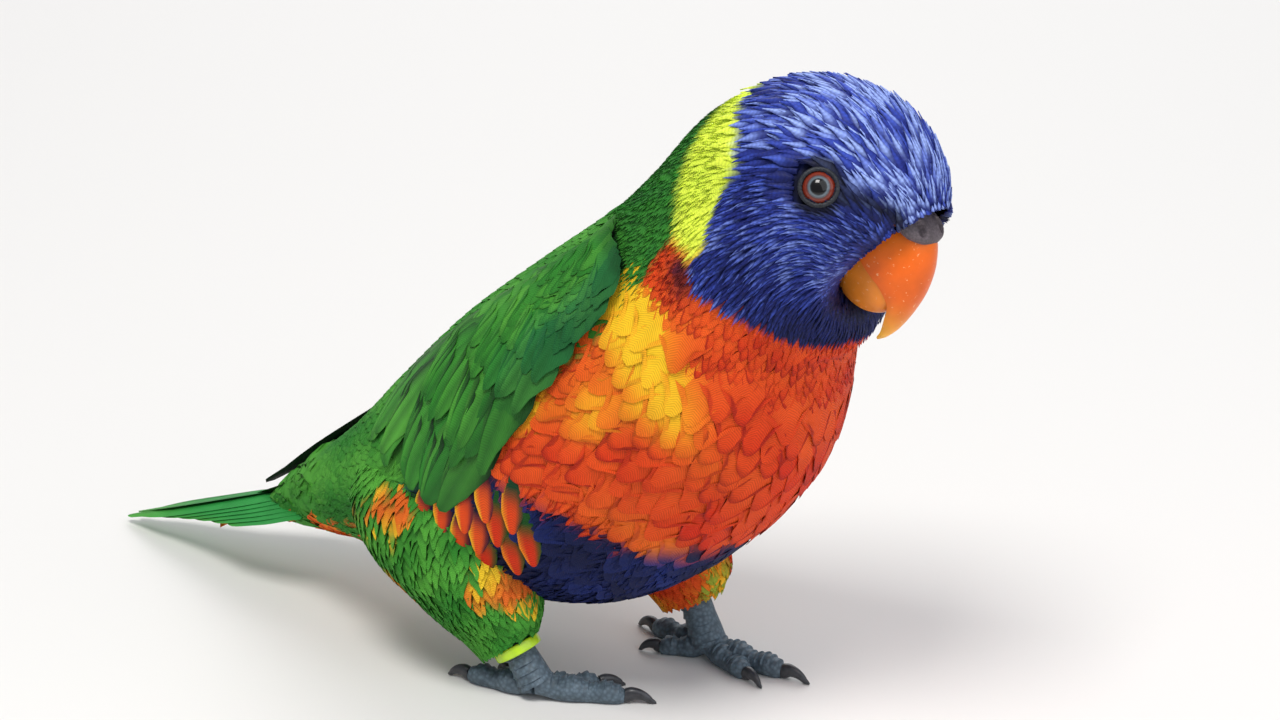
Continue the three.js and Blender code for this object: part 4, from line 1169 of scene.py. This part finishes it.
def bareSkinMaterial(name, hexColour, grain, roughness=0.62, contrast=0.4):
    # bare leathery skin: pebbled with tiny round grains, dry and matt
    material, tree, shader = newMaterial(name, Roughness=roughness, Specular_IOR_Level=0.35)
    cells = grains(tree, "TexVoronoi", grain, feature="F1").outputs["Distance"]
    cloud = grains(tree, "TexNoise", 3.0, Detail=3.0)
    colour = linear(hexColour)
    pebbled = rampOf(tree, cells, colour * (1 + contrast), colour * (1 - contrast), 0.75)
    shaded = times(tree, pebbled, tone(tree, cloud.outputs["Fac"], 0.7, 1.35))
    tree.links.new(shaded, shader.inputs["Base Color"])
    bump = node(tree, "Bump", [("Height", cells)], Strength=contrast * 1.5, Distance=grain * 0.2 * mm,
                invert=True)
    tree.links.new(bump.outputs["Normal"], shader.inputs["Normal"])
    return material


cere = {"size": (5.8, 6.9, 2.7), "place": (75, 0, 125), "tilt": 38, "nostril": (2.9, 3.4, 1.9),
        "colour": "#655b60"}


def makeCere():
    # an ellipsoid tilted over the base of the bill, pressed in at the nostrils:
    # point - way (1.7 exp(-away^4) - 0.35 exp(-((away - 1.35) / 0.3)^2)), away measured from each nostril
    lat, lon = globeAngles(60, 80, 0.02)
    globe = [np.sin(lat) * np.cos(lon), np.sin(lat) * np.sin(lon), np.cos(lat) + 0 * lon]
    p = np.stack(globe, -1) * cere["size"]
    way = np.array([0.35, 0, 0.9])
    for side in (left, right):
        hole = np.array(cere["nostril"]) * [1, side, 1]
        away = np.linalg.norm((p - hole) / [1.5, 1.1, 2.5], axis=-1)
        dip = 1.7 * np.exp(-away**4) - 0.35 * np.exp(-((away - 1.35) / 0.3) ** 2)
        p = p - way * dip[..., None]
    c, s = np.cos(np.radians(cere["tilt"])), np.sin(np.radians(cere["tilt"]))
    turned = np.stack([p[..., 0] * c + p[..., 2] * s, p[..., 1], p[..., 2] * c - p[..., 0] * s], -1)
    points = cocked(turned + cere["place"])
    skin = bareSkinMaterial("greyCereSkin", cere["colour"], 0.5, contrast=0.25)
    makePiece("cere_skin", points, outward(tubeFaces(*points.shape[:2]), points), skin,
              replaced=("cere",))


def eyeMaterial():
    # wet eye under a clear, polished surface, with fine fibres in its rings
    material, tree, shader = newMaterial("wetRingedEye", Roughness=0.25, Specular_IOR_Level=0.1,
                                         Coat_Weight=0.7, Coat_Roughness=0.02)
    fibres = grains(tree, "TexNoise", 0.5, Detail=4.0)
    colour = times(tree, painted(tree), tone(tree, fibres.outputs["Fac"], 0.7, 1.3))
    tree.links.new(colour, shader.inputs["Base Color"])
    return material


# the eye's rings: mm from its middle and colour, pupil, pale ring, red iris and dark rim
irisRings = [(0.0, "#020203"), (1.55, "#020203"), (1.7, "#6d7982"), (2.1, "#56616a"), (2.3, "#3a1a14"),
             (2.55, "#7e2f20"), (3.3, "#6e2618"), (3.6, "#1a0c0c"), (5.0, "#0b0809")]


def aroundAxis(out):
    # two directions square to out
    a = unit(np.cross(out, [0, 0, 1.0]))
    return a, np.cross(out, a)


def placed(middle, axes, parts):
    # middle + the sum of each part times its axis
    point = middle
    for axis, part in zip(axes, parts):
        point = point + part[..., None] * axis
    return point


def makeEyes():
    # a ball with a slightly raised cornea: radius (1 + 0.05 exp(-(lat / 0.45)^4)), lat from its front
    glossy = eyeMaterial()
    lidSkin = bareSkinMaterial("darkEyelidSkin", lids["colour"], 0.5, 0.5)
    stops = [stop for stop, tint in irisRings]
    tints = np.array([linear(tint) for stop, tint in irisRings])
    lat, lon = globeAngles(48, 64, 0.004)
    radius = eyePlace["radius"]
    bulge = radius * (1 + 0.05 * np.exp(-(lat / 0.45) ** 4))
    parts = (bulge * np.cos(lat) + 0 * lon, bulge * np.sin(lat) * np.cos(lon),
             bulge * np.sin(lat) * np.sin(lon))
    off = radius * np.sin(np.minimum(lat, np.pi / 2)) + np.where(lat > np.pi / 2, 2.0, 0.0)
    colours = np.stack([np.interp(off, stops, tints[:, k]) for k in range(3)], -1)
    for side in (left, right):
        centre, out = eyeCentre(side, eyePlace["sunk"])
        p = placed(centre, (out, *aroundAxis(out)), parts)
        makePiece("eyeball_" + sideNames[side], p, outward(tubeFaces(*p.shape[:2]), p), glossy,
                  replaced=("eye_" + sideNames[side],), colours=colours + 0 * p)
        makeLids(side, lidSkin)


lids = {"inner": 3.5, "width": 0.75, "beads": 28, "colour": "#20242c"}


def makeLids(side, material):
    # a ring round the eye: a tube as thick as the lids' width, beaded along its inner edge
    middle, out = eyeCentre(side)
    lon, ring = roundTurn(150)[:, None], roundTurn(20)[None]
    beads = 0.13 * np.abs(np.sin(lon * lids["beads"] / 2)) * np.exp(-((ring - np.pi * 0.85) / 0.7) ** 2)
    tube = lids["width"] * 0.5 * (1 + beads * 2)
    spread = lids["inner"] + lids["width"] * 0.5 + tube * np.cos(ring) * 1.25
    p = placed(middle, (out, *aroundAxis(out)),
               (0.25 + tube * np.sin(ring), spread * np.cos(lon), spread * np.sin(lon) * 0.97))
    makePiece("lids_" + sideNames[side], p, outward(torusFaces(*p.shape[:2]), p), material)


makeBill()
makeCere()
makeEyes()
print("face made")

# Feet: toes with pads below and broad scutes above, claws, and the ring on the right shank

# length, thickness at the root and length of the claw
toes = {"outer": (20, 2.7, 8.5), "inner": (14.5, 2.5, 7.5), "hindOuter": (17.5, 2.6, 7),
        "hindInner": (11.5, 2.4, 6)}
foot = {"soleSink": 0.35, "scute": 1.7, "shankScute": 2.0, "shank": (3.5, 3.6, 3.7, 4.0, 4.2),
        "colour": "#5a6a76"}
claw = {"bend": 62, "inset": 0.2, "tip": 0.16, "dark": "#15161a", "pale": "#4a4b50"}


def sweep(centres, ahead, wide, high, angle):
    # an ellipse at each centre: point = centre + wide cos(angle) side + high sin(angle) up, and none
    # lies below the floor
    side = unit(np.cross([0, 0, 1.0], ahead))
    up = np.cross(ahead, side)
    p = centres[:, None] + side[:, None] * (wide * np.cos(angle))[..., None]
    p = p + up[:, None] * (high * np.sin(angle))[..., None]
    p[..., 2] = np.maximum(p[..., 2], 0)
    return p


def sweepAngles(count):
    # evenly spaced angles that start half a step on
    return (np.arange(count) + 0.5) / count * turn


def scutes(place, size, facing):
    # a saw-toothed rise along the limb, on the side where facing is over 0
    saw = (place / size) % 1.0
    return (saw[:, None] ** 1.5 - 0.4) * facing[None]


def toeLine(side, name, t):
    # a straight line from the joint, with a thickness that falls towards the claw and swells at the pads
    length, girth = toes[name][:2]
    angle = np.radians(legs[side]["toes"][name])
    ahead = np.array([np.cos(angle), np.sin(angle), 0])
    radius = girth * (1.18 - 0.38 * t) * (1 + 0.09 * np.cos(t * turn * 2.5))
    centre = np.array([*legs[side]["joint"], 0]) + ahead * length * t[:, None]
    centre[:, 2] = radius - foot["soleSink"] + 1.3 * (1 - smooth(0, 0.3, t))
    return centre, radius, ahead


def footMesh(side):
    # four toes and the shank, with scutes along the toes' tops and the shank's front
    tubes = []
    angle = sweepAngles(40)
    t = np.linspace(0, 1, 90)
    for name in toes:
        centre, radius, ahead = toeLine(side, name, t)
        rise = 0.5 * scutes(t * toes[name][0], foot["scute"], smooth(0.15, 0.75, np.sin(angle)))
        radius = radius * np.sqrt(np.clip(1 - np.clip((t - 0.9) / 0.1, 0, 1) ** 2 * 0.7, 0, 1))  # rounded end
        tubes.append(sweep(centre, np.broadcast_to(ahead, centre.shape), radius[:, None] * 1.05 + rise,
                           radius[:, None] + rise, angle))
    top, base = shankEnds(side)
    t = np.linspace(0, 1, 60)
    centre = top * (1 - t[:, None]) + base * t[:, None]
    radius = np.interp(t, np.linspace(0, 1, 5), foot["shank"])[:, None]
    rise = 0.42 * scutes(t * np.linalg.norm(top - base), foot["shankScute"], smooth(0.0, 0.7, -np.cos(angle)))
    ahead = np.broadcast_to(unit(base - top), centre.shape)
    tubes.append(sweep(centre, ahead, radius + rise, radius * 0.98 + rise, angle))
    return joinTubes(tubes)


def clawPoints(side, name):
    # a hook that bends down to the floor, its line an arc and its thickness base (1 - t)^0.75 + tip
    centre, radius, ahead = toeLine(side, name, np.array([0.0, 1.0]))
    start = centre[-1] - ahead * claw["inset"]
    t = np.linspace(0, 1, 30)
    size, bend = toes[name][2], np.radians(claw["bend"])
    p = start + ahead * (size * np.sin(t * bend) / bend)[:, None]
    drop = size * (1 - np.cos(t * bend)) / bend
    thick = radius[-1] * 0.82 * (1 - t) ** 0.75 + claw["tip"]
    height = start[2] + 0.5 * smooth(0, 0.2, t) - drop * 0.7 + 0.5 * np.sin(t * np.pi)
    p[:, 2] = np.maximum(height, thick + 0.02)
    return sweep(p, unit(np.gradient(p, axis=0)), (thick * 0.8)[:, None], thick[:, None], sweepAngles(24))


def makeFeet():
    # dry, pebbled slate scales, and claws of half-glossy dark horn
    scales = bareSkinMaterial("slateFootScales", foot["colour"], 0.9, 0.55, contrast=0.34)
    clawHorn = mottledMaterial("darkClawHorn", claw["dark"], claw["pale"], 1.2, 3.0, Roughness=0.32)
    for side in (left, right):
        name = sideNames[side]
        points, faces = footMesh(side)
        makePiece("foot_scales_" + name, points, faces, scales, replaced=("foot_" + name,),
                  sharp=55)
        for toe in toes:
            p = clawPoints(side, toe)
            makePiece(f"claw_horn_{name}_{toe}", p, outward(tubeFaces(*p.shape[:2]), p), clawHorn,
                      replaced=(f"claw_{name}_{toe}",))


band = {"along": 0.3, "radius": 4.95, "halfWall": 0.55, "halfHeight": 1.2, "dark": "#9fcb12",
        "pale": "#cdf52a"}


def rounded(value):
    # flattens a circle's sine or cosine into a superellipse's: sign |value|^0.4
    return np.sign(value) * np.abs(value) ** 0.4


def makeBand():
    # a thin ring about the shank, its section a superellipse flatter than round
    top, base = shankEnds(right)
    axis = unit(base - top)
    lon, ring = roundTurn(72)[:, None], roundTurn(24)[None]
    reach = band["radius"] + band["halfWall"] * rounded(np.cos(ring))
    p = placed(top + (base - top) * band["along"], (axis, *aroundAxis(axis)),
               (band["halfHeight"] * rounded(np.sin(ring)) + 0 * lon, reach * np.cos(lon),
                reach * np.sin(lon)))
    # glossy, slightly worn plastic
    plastic = mottledMaterial("limeAcrylicRing", band["dark"], band["pale"], 2.5, 5.0, Roughness=0.3,
                              Coat_Weight=0.3)
    makePiece("leg_ring_plastic", p, outward(torusFaces(*p.shape[:2]), p), plastic,
              replaced=("leg_band",), sharp=40)


makeFeet()
makeBand()
print("feet made")

# Floor, lights and camera

view = {"azimuth": 36.0, "elevation": 22.0, "distance": 1000.0, "target": (5.0, 0.0, 78.0),
        "pixelsPerMm": 4.6, "pictureWidth": 1280}
studio = {"floor": "#e9e7e4", "halfFloor": 6.0, "lampTarget": (0, 0, 0.06), "air": (0.9, 0.93, 1.0),
          "glow": 0.38}


def frameAt(x, y, z, place):
    # the matrix of an object with its own axes along x, y and z
    return Matrix([[x[k], y[k], z[k], place[k]] for k in range(3)] + [[0, 0, 0, 1]])


def makeStage():
    # a large square of matt white paper
    size = studio["halfFloor"]
    mesh = bpy.data.meshes.new("floor")
    mesh.from_pydata([(-size, -size, 0), (size, -size, 0), (size, size, 0), (-size, size, 0)], [],
                     [(0, 1, 2, 3)])
    paper = newMaterial("matteStudioPaper", Roughness=0.9, Base_Color=(*linear(studio["floor"]), 1))[0]
    mesh.materials.append(paper)
    floor = addObject("floor", mesh)


def makeLight(name, place, size, power, tint):
    # a square lamp that faces the bird
    light = bpy.data.lights.new(name, "AREA")
    light.size = size
    light.energy = power
    light.color = tint
    z = unit(np.array(place) - studio["lampTarget"])
    x = unit(np.cross([0, 0, 1.0], z))
    addObject(name, light).matrix_world = frameAt(x, np.cross(z, x), z, place)


def makeCamera():
    # the photo's camera: it looks at the target from the distance, at the photo's scale there
    a, e = np.radians(view["azimuth"]), np.radians(view["elevation"])
    across = np.array([np.cos(a), np.sin(a), 0])
    ahead = np.array([-np.sin(a) * np.cos(e), np.cos(a) * np.cos(e), -np.sin(e)])
    place = (np.array(view["target"]) + shift - ahead * view["distance"]) * mm
    camera = bpy.data.cameras.new("photoCamera")
    camera.sensor_width = 36.0
    camera.lens = view["pixelsPerMm"] * view["distance"] * camera.sensor_width / view["pictureWidth"]
    camera.clip_start = 0.01
    made = addObject("photoCamera", camera)
    made.matrix_world = frameAt(across, np.cross(across, ahead), -ahead, place)
    bpy.context.scene.camera = made


makeStage()
makeCamera()
makeLight("softKey", (0.2, -0.5, 1.1), 0.4, 9.0, (1.0, 0.98, 0.95))
makeLight("skyFill", (0.9, -0.1, 0.7), 1.2, 5.0, (0.93, 0.96, 1.0))
makeLight("backRim", (-0.5, 0.8, 0.8), 0.9, 6.0, (1.0, 1.0, 1.0))
world = bpy.data.worlds.new("studioAir")
world.use_nodes = True
air = world.node_tree.nodes["Background"].inputs
air["Color"].default_value = (*studio["air"], 1)
air["Strength"].default_value = studio["glow"]
bpy.context.scene.world = world
bpy.context.scene.view_settings.view_transform = "Standard"
